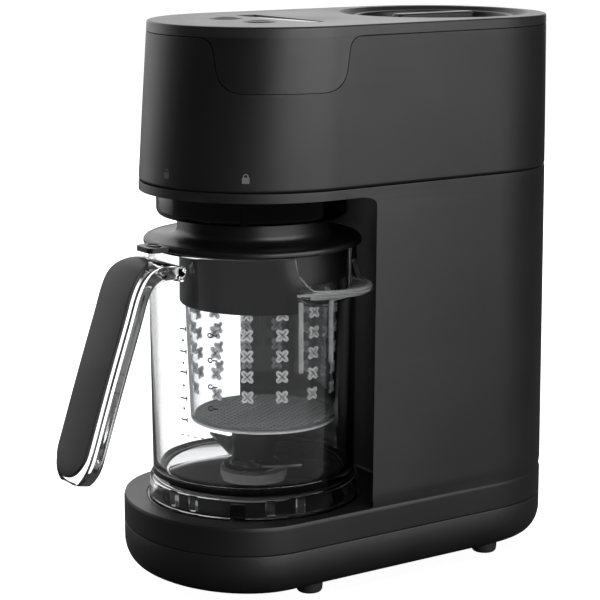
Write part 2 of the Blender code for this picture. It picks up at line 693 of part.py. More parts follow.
def strap(name, path, width, thickness, corner, end_scale):
    """Swept bar with rounded corners along the strap path."""
    rings = []
    for i, (centre, outward) in enumerate(path):
        grow = 1.0
        if i >= len(path) - end_scale:
            step = i - (len(path) - end_scale) + 1
            grow = math.sqrt(max(0.0, 1.0 - (step / (end_scale + 0.35)) ** 2))
        w = width / 2 * grow
        t = thickness / 2
        c = min(corner, t * 0.9)
        ring = []
        for sx, sn, dx, dn in (
            (1, 1, c, 0), (1, 1, 0, c), (1, -1, 0, c), (1, -1, c, 0),
            (-1, -1, c, 0), (-1, -1, 0, c), (-1, 1, 0, c), (-1, 1, c, 0),
        ):
            side = Vector((sx * (w - dx), 0.0, 0.0))
            ring.append(tuple(centre + side + outward * (sn * (t - dn))))
        rings.append(ring)
    return loft(name, rings)


def beak(name, grow, top):
    """Spout solid in plan: wide at the jug wall, round at the tip."""
    half = [(50.0, 21.0), (58.0, 17.5), (66.0, 12.0), (71.0, 6.5), (73.0, 0.0)]
    rings = []
    for z, shrink in ((166.0, 6.0), (171.0, 1.5), (top, 0.0)):
        ring = []
        plan = [(r, -w) for r, w in half] + [(r, w) for r, w in reversed(half[:-1])]
        for r, w in plan:
            scale = 1.0 - (shrink + grow) / 24.0
            radius = r - (shrink + grow) * (1.0 if r > 56.0 else 0.0)
            ring.append((radius * MM, w * scale * MM, z * MM + grow * MM * 0.8))
        rings.append(ring)
    rings[-1] = [(x, y, top * MM) for x, y, z in rings[-1]]
    mesh = loft(name, rings)
    mesh.transform(Matrix.Rotation(SPOUT_ANGLE - math.pi / 2, 4, "Z"))
    mesh.transform(Matrix.Translation((0.0, JUG_Y, 0.0)))
    return mesh


def build_jug():
    r_top = JUG_R_TOP
    r_low = JUG_R_LOW
    profile = [
        (r_top, JUG_RIM_Z), (r_low, 66.0 * MM), (r_low, 60.0 * MM), (58.4 * MM, 56.0 * MM),
        (59.0 * MM, JUG_BOTTOM_Z), (56.4 * MM, JUG_BOTTOM_Z), (55.4 * MM, 56.4 * MM),
        (52.0 * MM, 57.4 * MM), (13.2 * MM, 57.4 * MM), (13.2 * MM, JUG_FLOOR_Z),
        (50.0 * MM, JUG_FLOOR_Z), (52.6 * MM, 62.4 * MM), (r_low - JUG_WALL, 66.0 * MM),
        (r_top - JUG_WALL, JUG_RIM_Z),
    ]
    jug = turned("jug", profile, True, "clear", (0.0, JUG_Y), 40)
    spout = cutter("spout_outer", beak("spout_outer", 0.0, 181.0))
    bore = rod("jug_bore", (0.0, JUG_Y), JUG_R_TOP - JUG_WALL, 100.0 * MM, 200.0 * MM, 48)
    cut(spout, cutter("jug_bore", bore))
    join(jug, spout)
    channel = cutter("spout_channel", beak("spout_channel", 2.4, 195.0))
    cut(jug, channel)
    notch = prism("skirt_notch", [(-4.0 * MM, -66.0 * MM), (4.0 * MM, -66.0 * MM),
                                  (4.0 * MM, -52.0 * MM), (-4.0 * MM, -52.0 * MM)],
                  44.0 * MM, 55.0 * MM)
    notch.transform(Matrix.Rotation(LOCK_ANGLE, 4, "Z"))
    notch.transform(Matrix.Translation((0.0, JUG_Y, 0.0)))
    cut(jug, cutter("skirt_notch", notch))
    handle = piece("jug_handle", strap("jug_handle", strap_path(0.0), STRAP_W, STRAP_T,
                                       2.2 * MM, 2), "clear")
    clearance = rod("handle_root", (0.0, JUG_Y), JUG_R_TOP + GAP, 160.0 * MM, 200.0 * MM, 96)
    cut(handle, cutter("handle_root", clearance))
    smooth(handle)
    offset = STRAP_T / 2 + GAP + INLAY_T / 2
    inlay_path = strap_path(offset)[2:-1]
    inlay = piece("handle_inlay", strap("handle_inlay", inlay_path, INLAY_W, INLAY_T,
                                        0.8 * MM, 1), "charcoal")
    smooth(inlay)
    return jug


def build_blades():
    turned("blade_base", [
        (16.0 * MM, 62.6 * MM), (17.0 * MM, 61.8 * MM), (17.0 * MM, 60.8 * MM),
        (12.8 * MM, 60.8 * MM), (12.8 * MM, 51.8 * MM), (4.3 * MM, 51.8 * MM),
        (4.3 * MM, 62.6 * MM),
    ], True, "gloss_black", (0.0, JUG_Y), 24)
    turned("blade_nut", ring_profile(13.1 * MM, 19.0 * MM, 51.9 * MM, 57.0 * MM), True,
           "white_plastic", (0.0, JUG_Y), 24)
    turned("blade_shaft", [
        (0.0, 83.6 * MM), (4.0 * MM, 83.6 * MM), (4.0 * MM, 47.8 * MM), (0.0, 47.8 * MM),
    ], False, "steel", (0.0, JUG_Y), 20)
    turned("blade_hub", [
        (0.0, 87.0 * MM), (10.0 * MM, 87.0 * MM), (12.2 * MM, 85.0 * MM), (12.4 * MM, 66.2 * MM),
        (4.3 * MM, 66.2 * MM), (4.3 * MM, 84.0 * MM), (0.0, 84.0 * MM),
    ], False, "gloss_black", (0.0, JUG_Y), 24)
    bm = bmesh.new()
    wing = [(3.0, -7.0), (20.0, -7.5), (34.0, -3.0), (41.0, 4.0), (30.0, 5.0), (16.0, 7.0),
            (3.0, 7.0)]
    wing += [(-x, -y) for x, y in wing]
    low = [bm.verts.new((x * MM, y * MM, 63.4 * MM)) for x, y in wing]
    high = [bm.verts.new((x * MM, y * MM, 64.8 * MM)) for x, y in wing]
    for verts in (low, high):
        for v in verts:
            radius = math.hypot(v.co.x, v.co.y)
            lift = max(0.0, radius - 16.0 * MM) * 0.22
            v.co.z += lift
    count = len(low)
    for i in range(count):
        j = (i + 1) % count
        bm.faces.new((low[i], low[j], high[j], high[i]))
    bm.faces.new(list(reversed(low)))
    bm.faces.new(high)
    bmesh.ops.recalc_face_normals(bm, faces=bm.faces)
    bmesh.ops.triangulate(bm, faces=[f for f in bm.faces if len(f.verts) > 4])
    mesh = bpy.data.meshes.new("blade")
    bm.to_mesh(mesh)
    bm.free()
    blade = piece("blade", mesh, "steel")
    blade.location = (0.0, JUG_Y, 0.0)
    cut(blade, cutter("blade_hole", rod("blade_hole", (0.0, JUG_Y), 4.3 * MM, 55.0 * MM,
                                        70.0 * MM, 20)))
    turned("driven_hub", [
        (18.0 * MM, 51.2 * MM), (18.0 * MM, 47.3 * MM), (15.4 * MM, 47.3 * MM),
        (15.4 * MM, 49.4 * MM), (9.6 * MM, 49.4 * MM), (9.6 * MM, 47.3 * MM),
        (4.3 * MM, 47.3 * MM), (4.3 * MM, 51.2 * MM),
    ], True, "white_plastic", (0.0, JUG_Y), 24)
    turned("driven_magnet", ring_profile(9.9 * MM, 15.1 * MM, 47.3 * MM, 49.1 * MM), True,
           "cast", (0.0, JUG_Y), 24)


def build_lid():
    lid = turned("jug_lid", [
        (NECK_R, NECK_TOP_Z), (NECK_R, 194.6 * MM), (NECK_R + 2.0 * MM, LID_Z1 + 0.4 * MM),
        (LID_R - 1.0 * MM, LID_Z1), (LID_R, LID_Z1 - 1.0 * MM), (LID_R, LID_Z0),
        (7.0 * MM, LID_Z0), (7.0 * MM, LID_Z1), (NECK_R - 3.0 * MM, LID_Z1),
        (NECK_R - 3.0 * MM, NECK_TOP_Z),
    ], True, "gloss_black", (0.0, JUG_Y), 40)
    skirt = turned("lid_skirt", ring_profile(SKIRT_R - 2.0 * MM, SKIRT_R, SKIRT_Z,
                                             LID_Z0 + 1.0 * MM), True, None, (0.0, BASKET_Y), 32)
    opening = []
    for i in range(9):
        a = math.radians(79.0 + 71.0 * i / 8)
        opening.append((60.0 * MM * math.sin(a), BASKET_Y - 60.0 * MM * math.cos(a)))
    opening.append((0.0, BASKET_Y + 12.0 * MM))
    opening.append((12.0 * MM, BASKET_Y))
    window = cutter("skirt_window", prism("skirt_window", opening, 150.0 * MM, 170.0 * MM))
    cut(skirt, window)
    join(lid, skirt)
    tab = cutter("lid_tab", box("lid_tab", (0.0, JUG_Y - 63.0 * MM, 191.1 * MM),
                                (17.0 * MM, 15.0 * MM, 2.9 * MM), 0.9 * MM))
    join(lid, tab)
    turned("lid_seal", ring_profile(55.0 * MM, 57.4 * MM, 188.6 * MM, 189.3 * MM), True,
           "silicone", (0.0, JUG_Y), 24)
    return lid


def build_basket():
    basket = turned("steam_basket", [
        (BASKET_R_TOP, BASKET_TOP_Z), (BASKET_R_LOW, BASKET_FLOOR_Z + 0.6 * MM),
        (BASKET_R_LOW - 1.6 * MM, BASKET_FLOOR_Z - 1.6 * MM),
        (0.0, BASKET_FLOOR_Z - 1.6 * MM), (0.0, BASKET_FLOOR_Z + 0.4 * MM),
        (BASKET_R_LOW - 2.4 * MM, BASKET_FLOOR_Z + 0.4 * MM),
        (BASKET_R_TOP - 1.8 * MM, BASKET_TOP_Z),
    ], True, "clear", (0.0, BASKET_Y), 28)
    bm = bmesh.new()
    size = 3.2 * MM
    for row in range(3):
        z = (109.0 + 23.0 * row) * MM
        for column in range(14):
            a = 2 * math.pi * (column + 0.5) / 14
            geom = bmesh.ops.create_cone(bm, cap_ends=True, segments=4, radius1=size,
                                         radius2=size, depth=16.0 * MM)
            verts = geom["verts"]
            turn = Matrix.Rotation(math.radians(90.0), 4, "X")
            bmesh.ops.transform(bm, matrix=turn, verts=verts)
            bmesh.ops.translate(bm, vec=(0.0, -42.0 * MM, z), verts=verts)
            bmesh.ops.transform(bm, matrix=Matrix.Rotation(a, 4, "Z"), verts=verts)
    for ring, count in ((0.0, 1), (20.0, 6)):
        for i in range(count):
            a = 2 * math.pi * i / count
            geom = bmesh.ops.create_cone(bm, cap_ends=True, segments=4, radius1=2.6 * MM,
                                         radius2=2.6 * MM, depth=12.0 * MM)
            place = (ring * MM * math.cos(a), ring * MM * math.sin(a), BASKET_FLOOR_Z)
            bmesh.ops.translate(bm, vec=place, verts=geom["verts"])
    mesh = bpy.data.meshes.new("basket_holes")
    bm.to_mesh(mesh)
    bm.free()
    holes = cutter("basket_holes", mesh)
    holes.location = (0.0, BASKET_Y, 0.0)
    cut(basket, holes)
    return basket


build_base_pan()
build_body()
build_head()
build_top_cover()
build_feet()
build_controls()
build_tank()
build_steam()
build_drive()
turned("jug_lock_ring", ring_profile(50.0 * MM, 60.0 * MM, 44.6 * MM, 46.2 * MM), True,
       "gloss_black", (0.0, JUG_Y))
build_jug()
build_blades()
build_lid()
build_basket()
bpy.context.view_layer.update()
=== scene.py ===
"""Looks of the baby food maker: fine meshes, materials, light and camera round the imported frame."""
import math

import bmesh
import bpy
from mathutils import Matrix, Vector
from mathutils.geometry import delaunay_2d_cdt


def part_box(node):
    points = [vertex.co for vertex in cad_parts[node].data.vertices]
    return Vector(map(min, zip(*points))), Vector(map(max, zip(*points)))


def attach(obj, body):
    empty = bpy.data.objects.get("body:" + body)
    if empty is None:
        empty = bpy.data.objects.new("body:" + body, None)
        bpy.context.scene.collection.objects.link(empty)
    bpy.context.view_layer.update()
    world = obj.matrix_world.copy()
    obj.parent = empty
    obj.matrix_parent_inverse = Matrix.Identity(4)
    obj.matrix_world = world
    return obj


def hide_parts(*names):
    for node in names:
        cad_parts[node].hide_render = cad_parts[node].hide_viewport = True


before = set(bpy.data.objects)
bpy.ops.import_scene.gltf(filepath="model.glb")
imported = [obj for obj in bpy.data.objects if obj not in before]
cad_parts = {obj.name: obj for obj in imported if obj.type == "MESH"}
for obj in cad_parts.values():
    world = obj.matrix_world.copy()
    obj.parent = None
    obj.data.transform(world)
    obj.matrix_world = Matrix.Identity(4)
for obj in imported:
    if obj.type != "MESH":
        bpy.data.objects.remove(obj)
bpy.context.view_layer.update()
MM = 0.001


def spot(node):
    """Middle of a CAD node's box."""
    low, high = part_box(node)
    return (low + high) / 2


# ------------------------------------------------------------------ places, from the frame
PAN_LO, PAN_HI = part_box("base_pan")
BODY_LO, BODY_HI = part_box("body_housing")
HEAD_LO, HEAD_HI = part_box("head_housing")
JUG_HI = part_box("jug")[1]
LID_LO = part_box("jug_lid")[0]
BASKET_LO, BASKET_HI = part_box("steam_basket")
JUG_Y = spot("jug_lock_ring").y
BASKET_Y = spot("steam_basket").y
CAP_Y = spot("cap_gasket").y

REAR_C = 87.0 * MM
FRONT_C_BASE = -49.7 * MM
FRONT_C_NECK = -23.0 * MM
REAR_POWER = 2.3
WALL = 2.4 * MM
DECK_Z = 46.4 * MM
CEILING_Z = 219.0 * MM
HEAD_Z0 = HEAD_LO.z
COVER_Z0 = 304.5 * MM
TOP_Z = 310.0 * MM
BAY_R = 75.6 * MM
DISPLAY_Y = -15.0 * MM
ICON_Z = 231.8 * MM
LOCK_DEGREES = 48.0
TAB_ANGLE = math.radians(64.0)

# rounded edges: ceiling and deck of the bay, head, cover, and the tucked-in base
CEILING_ROUND = 4.6 * MM
DECK_ROUND = 1.6 * MM
HEAD_ROUND = 1.8 * MM
COVER_ROUND = 1.1 * MM
PAN_TUCK = 9.4 * MM
PAN_CURVE = 0.62

# plan: half width, front tip, front centre, rear tip, rear centre
BASE_PLAN = (BODY_HI.x, BODY_LO.y, FRONT_C_BASE, BODY_HI.y, REAR_C)
NECK_PLAN = (HEAD_HI.x, HEAD_LO.y, FRONT_C_NECK, HEAD_HI.y, REAR_C)
TOP_PLAN = (65.3 * MM, -88.6 * MM, FRONT_C_NECK, 151.3 * MM, REAR_C)


# ------------------------------------------------------------------ materials
class Shader:
    """Small helper round one Principled material and its node tree."""

    def __init__(self, name, colour, roughness, metallic=0.0):
        self.mat = bpy.data.materials.new(name)
        self.mat.use_nodes = True
        self.tree = self.mat.node_tree
        self.bsdf = self.tree.nodes["Principled BSDF"]
        self.colour = colour
        self.bsdf.inputs["Base Color"].default_value = (*colour, 1.0)
        self.bsdf.inputs["Roughness"].default_value = roughness
        self.bsdf.inputs["Metallic"].default_value = metallic
        self.coords = self.tree.nodes.new("ShaderNodeTexCoord")

    def node(self, kind, **values):
        made = self.tree.nodes.new(kind)
        for key, value in values.items():
            if key in made.inputs:
                made.inputs[key].default_value = value
            else:
                setattr(made, key, value)
        return made

    def link(self, a, a_socket, b, b_socket):
        self.tree.links.new(a.outputs[a_socket], b.inputs[b_socket])

    def noise(self, scale, detail=4.0, roughness=0.55, stretch=None):
        made = self.node("ShaderNodeTexNoise", Scale=scale, Detail=detail, Roughness=roughness)
        if stretch:
            mapping = self.node("ShaderNodeMapping")
            mapping.inputs["Scale"].default_value = stretch
            self.link(self.coords, "Object", mapping, "Vector")
            self.link(mapping, "Vector", made, "Vector")
        else:
            self.link(self.coords, "Object", made, "Vector")
        return made

    def spread(self, source, low, high, start=0.3, end=0.7):
        """Map a noise onto a range of values."""
        return self.ranged(source.outputs["Fac"], low, high, start, end)

    def ranged(self, socket, low, high, start=0.0, end=1.0):
        """Map a value from start..end onto low..high."""
        made = self.node("ShaderNodeMapRange")
        for name, value in (("From Min", start), ("From Max", end), ("To Min", low),
                            ("To Max", high)):
            made.inputs[name].default_value = value
        self.tree.links.new(socket, made.inputs["Value"])
        return made

    def vary_roughness(self, scale, low, high, **noise_values):
        made = self.spread(self.noise(scale, **noise_values), low, high)
        self.link(made, "Result", self.bsdf, "Roughness")
        return self

    def vary_colour(self, scale, darker, lighter, **noise_values):
        """Base colour drifts between two shades of itself."""
        ramp = self.node("ShaderNodeValToRGB")
        ramp.color_ramp.elements[0].position = 0.3
        ramp.color_ramp.elements[1].position = 0.7
        ramp.color_ramp.elements[0].color = (*[c * darker for c in self.colour], 1.0)
        ramp.color_ramp.elements[1].color = (*[min(1.0, c * lighter) for c in self.colour], 1.0)
        self.link(self.noise(scale, **noise_values), "Fac", ramp, "Fac")
        self.link(ramp, "Color", self.bsdf, "Base Color")
        return ramp

    def paint_edge_highlight(self, ramp, amount):
        """Convex edges are painted a little lighter, a painted highlight."""
        geometry = self.node("ShaderNodeNewGeometry")
        mask = self.ranged(geometry.outputs["Pointiness"], 0.0, amount, 0.52, 0.62)
        mix = self.node("ShaderNodeMix", data_type="RGBA")
        # lighter edge colour: a painted highlight
        mix.inputs[7].default_value = (0.05, 0.05, 0.052, 1.0)
        self.link(mask, "Result", mix, "Factor")
        self.tree.links.new(ramp.outputs["Color"], mix.inputs[6])
        self.tree.links.new(mix.outputs[2], self.bsdf.inputs["Base Color"])
        return self

    def grain(self, scale, strength, distance, stretch=None):
        """Fine moulded, cast or brushed grain as bump."""
        bump = self.node("ShaderNodeBump", Strength=strength, Distance=distance)
        self.link(self.noise(scale, detail=3.0, stretch=stretch), "Fac", bump, "Height")
        self.link(bump, "Normal", self.bsdf, "Normal")
        return self

    def value(self, socket, number):
        self.bsdf.inputs[socket].default_value = number
        return self


def charcoal(name, shade, low, high):
    made = Shader(name, (shade, shade, shade * 1.02), (low + high) / 2)
    ramp = made.vary_colour(26.0, 0.86, 1.14, detail=6.0)
    # convex edges painted lighter as a painted highlight
    made.paint_edge_highlight(ramp, 0.25)
    made.vary_roughness(14.0, low, high, detail=8.0)
    made.grain(3600.0, 0.28, 0.00012)
    return made.mat


def gloss(name, shade, low, high):
    made = Shader(name, (shade, shade, shade * 1.1), (low + high) / 2)
    made.vary_colour(30.0, 0.85, 1.2)
    made.vary_roughness(60.0, low, high, detail=8.0)
    made.grain(900.0, 0.05, 0.00005)
    return made.mat


def clear(name, tint, low, high):
    made = Shader(name, tint, (low + high) / 2)
    made.vary_colour(18.0, 0.99, 1.01)
    made.value("Transmission Weight", 1.0)
    made.value("IOR", 1.49)
    made.vary_roughness(45.0, low, high, detail=8.0)
    made.grain(240.0, 0.03, 0.00005)
    return made.mat


def frosted(name, tint, through):
    made = Shader(name, tint, 0.6)
    made.vary_colour(400.0, 0.92, 1.05)
    made.value("Transmission Weight", through)
    made.value("IOR", 1.49)
    made.vary_roughness(700.0, 0.5, 0.75)
    made.grain(2600.0, 0.3, 0.0001)
    return made.mat


def soft(name, shade, low, high, tint=(1.0, 1.0, 1.0)):
    made = Shader(name, tuple(shade * c for c in tint), (low + high) / 2)
    made.vary_colour(60.0, 0.9, 1.1)
    # arm length and half width of each X: its border (frosted lighter as a painted highlight), its
    # face and its open slot
    made.vary_roughness(90.0, low, high)
    made.grain(1500.0, 0.2, 0.0001)
    return made.mat


def metal(name, shade, low, high, stretch=None):
    made = Shader(name, (shade, shade, shade * 1.01), (low + high) / 2, 1.0)
    made.vary_colour(40.0, 0.93, 1.04)
    made.vary_roughness(120.0, low, high, stretch=stretch)
    made.grain(900.0, 0.12, 0.00006, stretch=stretch)
    return made.mat


def board(name):
    made = Shader(name, (0.02, 0.12, 0.05), 0.4)
    made.vary_colour(300.0, 0.5, 1.5)
    made.vary_roughness(400.0, 0.3, 0.55)
    made.grain(700.0, 0.3, 0.0002)
    return made.mat


CASE = charcoal("case_plastic", 0.0075, 0.40, 0.50)
TOP = charcoal("cover_plastic", 0.0075, 0.34, 0.44)
INLAY = charcoal("inlay_plastic", 0.022, 0.46, 0.56)
BUTTON = charcoal("button_plastic", 0.007, 0.34, 0.44)
CAP = charcoal("cap_plastic", 0.006, 0.32, 0.42)
GLOSS = gloss("gloss_black", 0.006, 0.12, 0.20)
LID = gloss("lid_black", 0.005, 0.32, 0.42)
LENS = gloss("display_lens", 0.004, 0.04, 0.09)
CLEAR = clear("clear_plastic", (0.985, 0.99, 0.995), 0.0, 0.03)
BASKET_CLEAR = clear("basket_clear", (0.955, 0.965, 0.98), 0.02, 0.06)
FROST = frosted("frosted_plastic", (0.98, 0.985, 0.99), 0.65)
# lighter frosted border of each basket X: a painted highlight where its edge catches light
FROST_HIGHLIGHT = frosted("frosted_edge_painted_highlight", (0.99, 0.99, 1.0), 0.35)
# frosted white on the rim and lip tops: a painted highlight
LIP_HIGHLIGHT = frosted("lip_painted_highlight", (0.99, 0.99, 1.0), 0.6)
FLOOR_CLEAR = frosted("basket_floor_plastic", (0.97, 0.975, 0.985), 0.3)
RUBBER = soft("rubber", 0.012, 0.65, 0.8)
SILICONE = soft("silicone_grey", 0.25, 0.45, 0.6)
WHITE = soft("white_plastic", 0.7, 0.4, 0.55, (1.0, 1.0, 0.97))
STEEL = metal("steel", 0.62, 0.18, 0.32, (1.0, 1.0, 12.0))
BLADE = metal("blade_steel", 0.66, 0.12, 0.26, (1.0, 14.0, 1.0))
CAST = metal("cast_metal", 0.5, 0.42, 0.6)
BOARD = board("circuit_board")
PRINT = soft("grey_print", 0.16, 0.5, 0.6)
MARK = soft("icon_print", 0.10, 0.45, 0.6)
DIAL = soft("dark_print", 0.02, 0.3, 0.4)


# ------------------------------------------------------------------ mesh helpers
def rounded(points, closed=False, steps=4):
    """Polyline with rounded corners: a point is (a, b) or (a, b, radius)."""
    result = []
    count = len(points)
    for i, point in enumerate(points):
        radius = point[2] if len(point) > 2 else 0.0
        here = Vector(point[:2])
        last = i == 0 or i == count - 1
        if radius <= 0 or (last and not closed):
            result.append(tuple(here))
            continue
        before = Vector(points[i - 1][:2]) - here
        after = Vector(points[(i + 1) % count][:2]) - here
        reach = min(radius, before.length * 0.48, after.length * 0.48)
        start = here + before.normalized() * reach
        end = here + after.normalized() * reach
        for k in range(steps + 1):
            t = k / steps
            result.append(tuple((1 - t) ** 2 * start + 2 * t * (1 - t) * here + t * t * end))
    return result


def finish_mesh(bm, name, angle=32.0, weld=0.0):
    if weld:
        bmesh.ops.remove_doubles(bm, verts=bm.verts, dist=weld)
    bmesh.ops.recalc_face_normals(bm, faces=bm.faces)
    mesh = bpy.data.meshes.new(name)
    bm.to_mesh(mesh)
    bm.free()
    smooth(mesh, angle)
    return mesh


def smooth(mesh, angle):
    """Smooth shading, with the edges sharper than the angle (in degrees) kept crisp."""
    mesh.shade_smooth()
    mesh.set_sharp_from_angle(angle=math.radians(angle))


def quarter(steps):
    """(1 - cos, 1 - sin) along a quarter turn, for rounded edges."""
    turns = [math.pi / 2 * k / steps for k in range(steps + 1)]
    return [(1 - math.cos(a), 1 - math.sin(a)) for a in turns]


def bridge(bm, rows, ring=False, caps=True):
    """Faces from each closed row of points to the next; the ends are capped or joined in a ring."""
    pairs = list(zip(rows, rows[1:]))
    if ring:
        pairs.append((rows[-1], rows[0]))
    for low, high in pairs:
        for i in range(len(low)):
            j = (i + 1) % len(low)
            bm.faces.new((low[i], low[j], high[j], high[i]))
    if caps and not ring:
        bm.faces.new(list(reversed(rows[0])))
        bm.faces.new(rows[-1])


def revolve(name, profile, centre_y, steps=128, bend=None, angles=None, closed=True, centre_x=0.0):
    """Solid turned about a Z axis, its profile in mm; bend(degrees, index) may place a point."""
    angles = angles or [360.0 * i / steps for i in range(steps)]
    bm = bmesh.new()
    rows = []
    for angle in angles:
        a = math.radians(angle)
        row = []
        for index, (r, z) in enumerate(profile):
            if bend:
                r, z = bend(angle, index)
            row.append(bm.verts.new((centre_x + r * MM * math.sin(a),
                                     centre_y - r * MM * math.cos(a), z * MM)))
        rows.append(row)
    span = len(profile) if closed else len(profile) - 1
    for i, row in enumerate(rows):
        other = rows[(i + 1) % len(rows)]
        for k in range(span):
            m = (k + 1) % len(profile)
            bm.faces.new((row[k], other[k], other[m], row[m]))
    return finish_mesh(bm, name, weld=0.000002)


def plan_point(plan, inset, step, count):
    """One point of the rounded outline of the case, counter-clockwise from the left side."""
    half, front_tip, front_c, rear_tip, rear_c = plan
    half = half - inset
    front = front_c - front_tip - inset
    rear = rear_tip - rear_c - inset
    if step <= count:
        a = math.pi * (step / count - 0.5)
        return half * math.sin(a), front_c - front * math.cos(a)
    a = math.pi * (step - count - 1) / count
    c = math.cos(a)
    x = half * math.copysign(abs(c) ** (2 / REAR_POWER), c)
    return x, rear_c + rear * abs(math.sin(a)) ** (2 / REAR_POWER)


def case_plan(z):
    """Plan of the upper case at height z, drafted between the neck and the top."""
    t = (z - HEAD_Z0) / (TOP_Z - HEAD_Z0)
    return tuple(a + (b - a) * t for a, b in zip(NECK_PLAN, TOP_PLAN))


def body_plan(z):
    """Plan of the tall housing between the deck and the neck."""
    t = max(0.0, (z - DECK_Z) / (CEILING_Z - DECK_Z))
    return tuple(a + (b - a) * min(t, 1.0) for a, b in zip(BASE_PLAN, NECK_PLAN))


def case_loft(name, levels, plan_at, capped=True, count=44):
    """Solid through outlines at (height, inset) levels; not capped, it closes on itself."""
    bm = bmesh.new()
    total = 2 * count + 2
    rows = []
    for z, inset in levels:
        row = []
        for step in range(total):
            x, y = plan_point(plan_at(z), inset, step, count)
            row.append(bm.verts.new((x, y, z)))
        rows.append(row)
    bridge(bm, rows, ring=not capped)
    return finish_mesh(bm, name)


def prism(name, outline, z0, z1):
    """Straight-sided solid over a plan outline."""
    bm = bmesh.new()
    bridge(bm, [[bm.verts.new((x, y, z)) for x, y in outline] for z in (z0, z1)])
    return finish_mesh(bm, name)


def block(name, centre, size, bevel, segments=3):
    """Block with rounded edges."""
    bm = bmesh.new()
    bmesh.ops.create_cube(bm, size=1.0)
    bmesh.ops.scale(bm, vec=size, verts=bm.verts)
    bmesh.ops.bevel(bm, geom=bm.edges[:], offset=bevel, segments=segments, affect="EDGES",
                    profile=0.5)
    bmesh.ops.translate(bm, vec=centre, verts=bm.verts)
    return finish_mesh(bm, name, 50.0)


def rod(name, centre, radius, z0, z1, segments=64):
    """Round bar standing on Z, used as a cutter."""
    outline = []
    for i in range(segments):
        a = 2 * math.pi * i / segments
        outline.append((centre[0] + radius * math.cos(a), centre[1] + radius * math.sin(a)))
    return prism(name, outline, z0, z1)


def thing(name, mesh):
    obj = bpy.data.objects.new(name, mesh)
    bpy.context.scene.collection.objects.link(obj)
    return obj


def combine(obj, tools):
    """Apply Boolean steps: a list of (operation, mesh)."""
    helpers = []
    for operation, mesh in tools:
        helper = thing("tool", mesh)
        helpers.append(helper)
        mod = obj.modifiers.new("bool", "BOOLEAN")
        mod.operation = operation
        mod.solver = "EXACT"
        mod.object = helper
    bake(obj)
    for helper in helpers:
        bpy.data.objects.remove(helper, do_unlink=True)
    return obj


def carve(mesh, tools):
    """Boolean steps on a bare mesh."""
    part = combine(thing("part", mesh), tools)
    mesh = part.data
    bpy.data.objects.remove(part, do_unlink=True)
    return mesh


def bake(obj):
    """Replace the mesh by its modified form."""
    bpy.context.view_layer.update()
    graph = bpy.context.evaluated_depsgraph_get()
    mesh = bpy.data.meshes.new_from_object(obj.evaluated_get(graph))
    obj.modifiers.clear()
    obj.data = mesh
    return obj


def soften(obj, width, angle=40.0, segments=2):
    """Small rounding on the crisp edges of a cut piece."""
    mod = obj.modifiers.new("soften", "BEVEL")
    mod.width = width
    mod.segments = segments
    mod.limit_method = "ANGLE"
    mod.angle_limit = math.radians(angle)
    bake(obj)
    smooth(obj.data, 30.0)
    return even_normals(obj)


def even_normals(obj):
    """Let the large faces set the normals, so that cut edges don't shade in streaks."""
    mod = obj.modifiers.new("even", "WEIGHTED_NORMAL")
    mod.keep_sharp = True
    mod.weight = 60
    bake(obj)
    return obj


def put(obj, body, slot, material, *nodes):
    """Give a piece its material, its body and the CAD nodes it stands for. The slot argument is not
    used.
    """
    if material:
        obj.data.materials.clear()
        obj.data.materials.append(material)
    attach(obj, body)
    if nodes:
        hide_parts(*nodes)
    return obj


def at_angle(mesh, degrees, centre_y):
    """Turn a mesh that points to the front round a vertical axis."""
    mesh.transform(Matrix.Rotation(math.radians(degrees), 4, "Z"))
    mesh.transform(Matrix.Translation((0.0, centre_y, 0.0)))
    return mesh


# ------------------------------------------------------------------ stage, light and camera
def math_step(tree, operation, a, b):
    """Output of a Math node whose two inputs are numbers or other outputs."""
    made = tree.nodes.new("ShaderNodeMath")
    made.operation = operation
    for index, value in ((0, a), (1, b)):
        if isinstance(value, float):
            made.inputs[index].default_value = value
        else:
            tree.links.new(value, made.inputs[index])
    return made.outputs[0]


def direct_sight(tree, path):
    """1 for what is seen straight or through clear plastic, before any mirror."""
    straight = math_step(tree, "LESS_THAN", path.outputs["Glossy Depth"], 0.5)
    sight = math_step(tree, "MAXIMUM", path.outputs["Is Camera Ray"],
                      path.outputs["Is Transmission Ray"])
    return math_step(tree, "MULTIPLY", straight, sight)


def sight_mask(tree):
    """1 for direct sight, 0.12 to 1 for what is mirrored behind clear plastic, and 0 for what the
    outside mirrors."""
    path = tree.nodes.new("ShaderNodeLightPath")
    passing = path.outputs["Is Transmission Ray"]
    shallow = math_step(tree, "LESS_THAN", path.outputs["Transmission Depth"], 2.5)
    deep = math_step(tree, "GREATER_THAN", path.outputs["Glossy Depth"], 1.5)
    turned = math_step(tree, "MAXIMUM", deep, 0.25)
    open_way = math_step(tree, "MULTIPLY", shallow, passing)
    through = math_step(tree, "MULTIPLY", open_way, turned)
    weak = math_step(tree, "MULTIPLY", passing, 0.12)
    best = math_step(tree, "MAXIMUM", direct_sight(tree, path), through)
    return math_step(tree, "MAXIMUM", best, weak)


def build_stage():
    bpy.ops.mesh.primitive_plane_add(size=12.0)
    floor = bpy.context.object
    floor.name = "floor"
    made = Shader("floor_white", (0.92, 0.92, 0.92), 0.9)
    made.vary_colour(2.0, 0.995, 1.005)
    made.grain(60.0, 0.02, 0.0005)
    made.value("Emission Color", (1.0, 1.0, 1.0, 1.0))
    mask = sight_mask(made.tree)
    for socket, seen, mirrored in (("Emission Strength", 0.97, 0.0), ("Base Color", 0.9, 0.10)):
        level = made.ranged(mask, mirrored, seen)
        for link in list(made.bsdf.inputs[socket].links):
            made.tree.links.remove(link)
        made.link(level, "Result", made.bsdf, socket)
    floor.data.materials.append(made.mat)
    floor.visible_diffuse = False


LIT_POINT = Vector((0.0, 0.0, 0.16))


def aim(obj, place, way):
    """Stand a light or camera at a place, looking against way."""
    obj.location = place
    obj.rotation_mode = "QUATERNION"
    obj.rotation_quaternion = way.to_track_quat("Z", "Y")


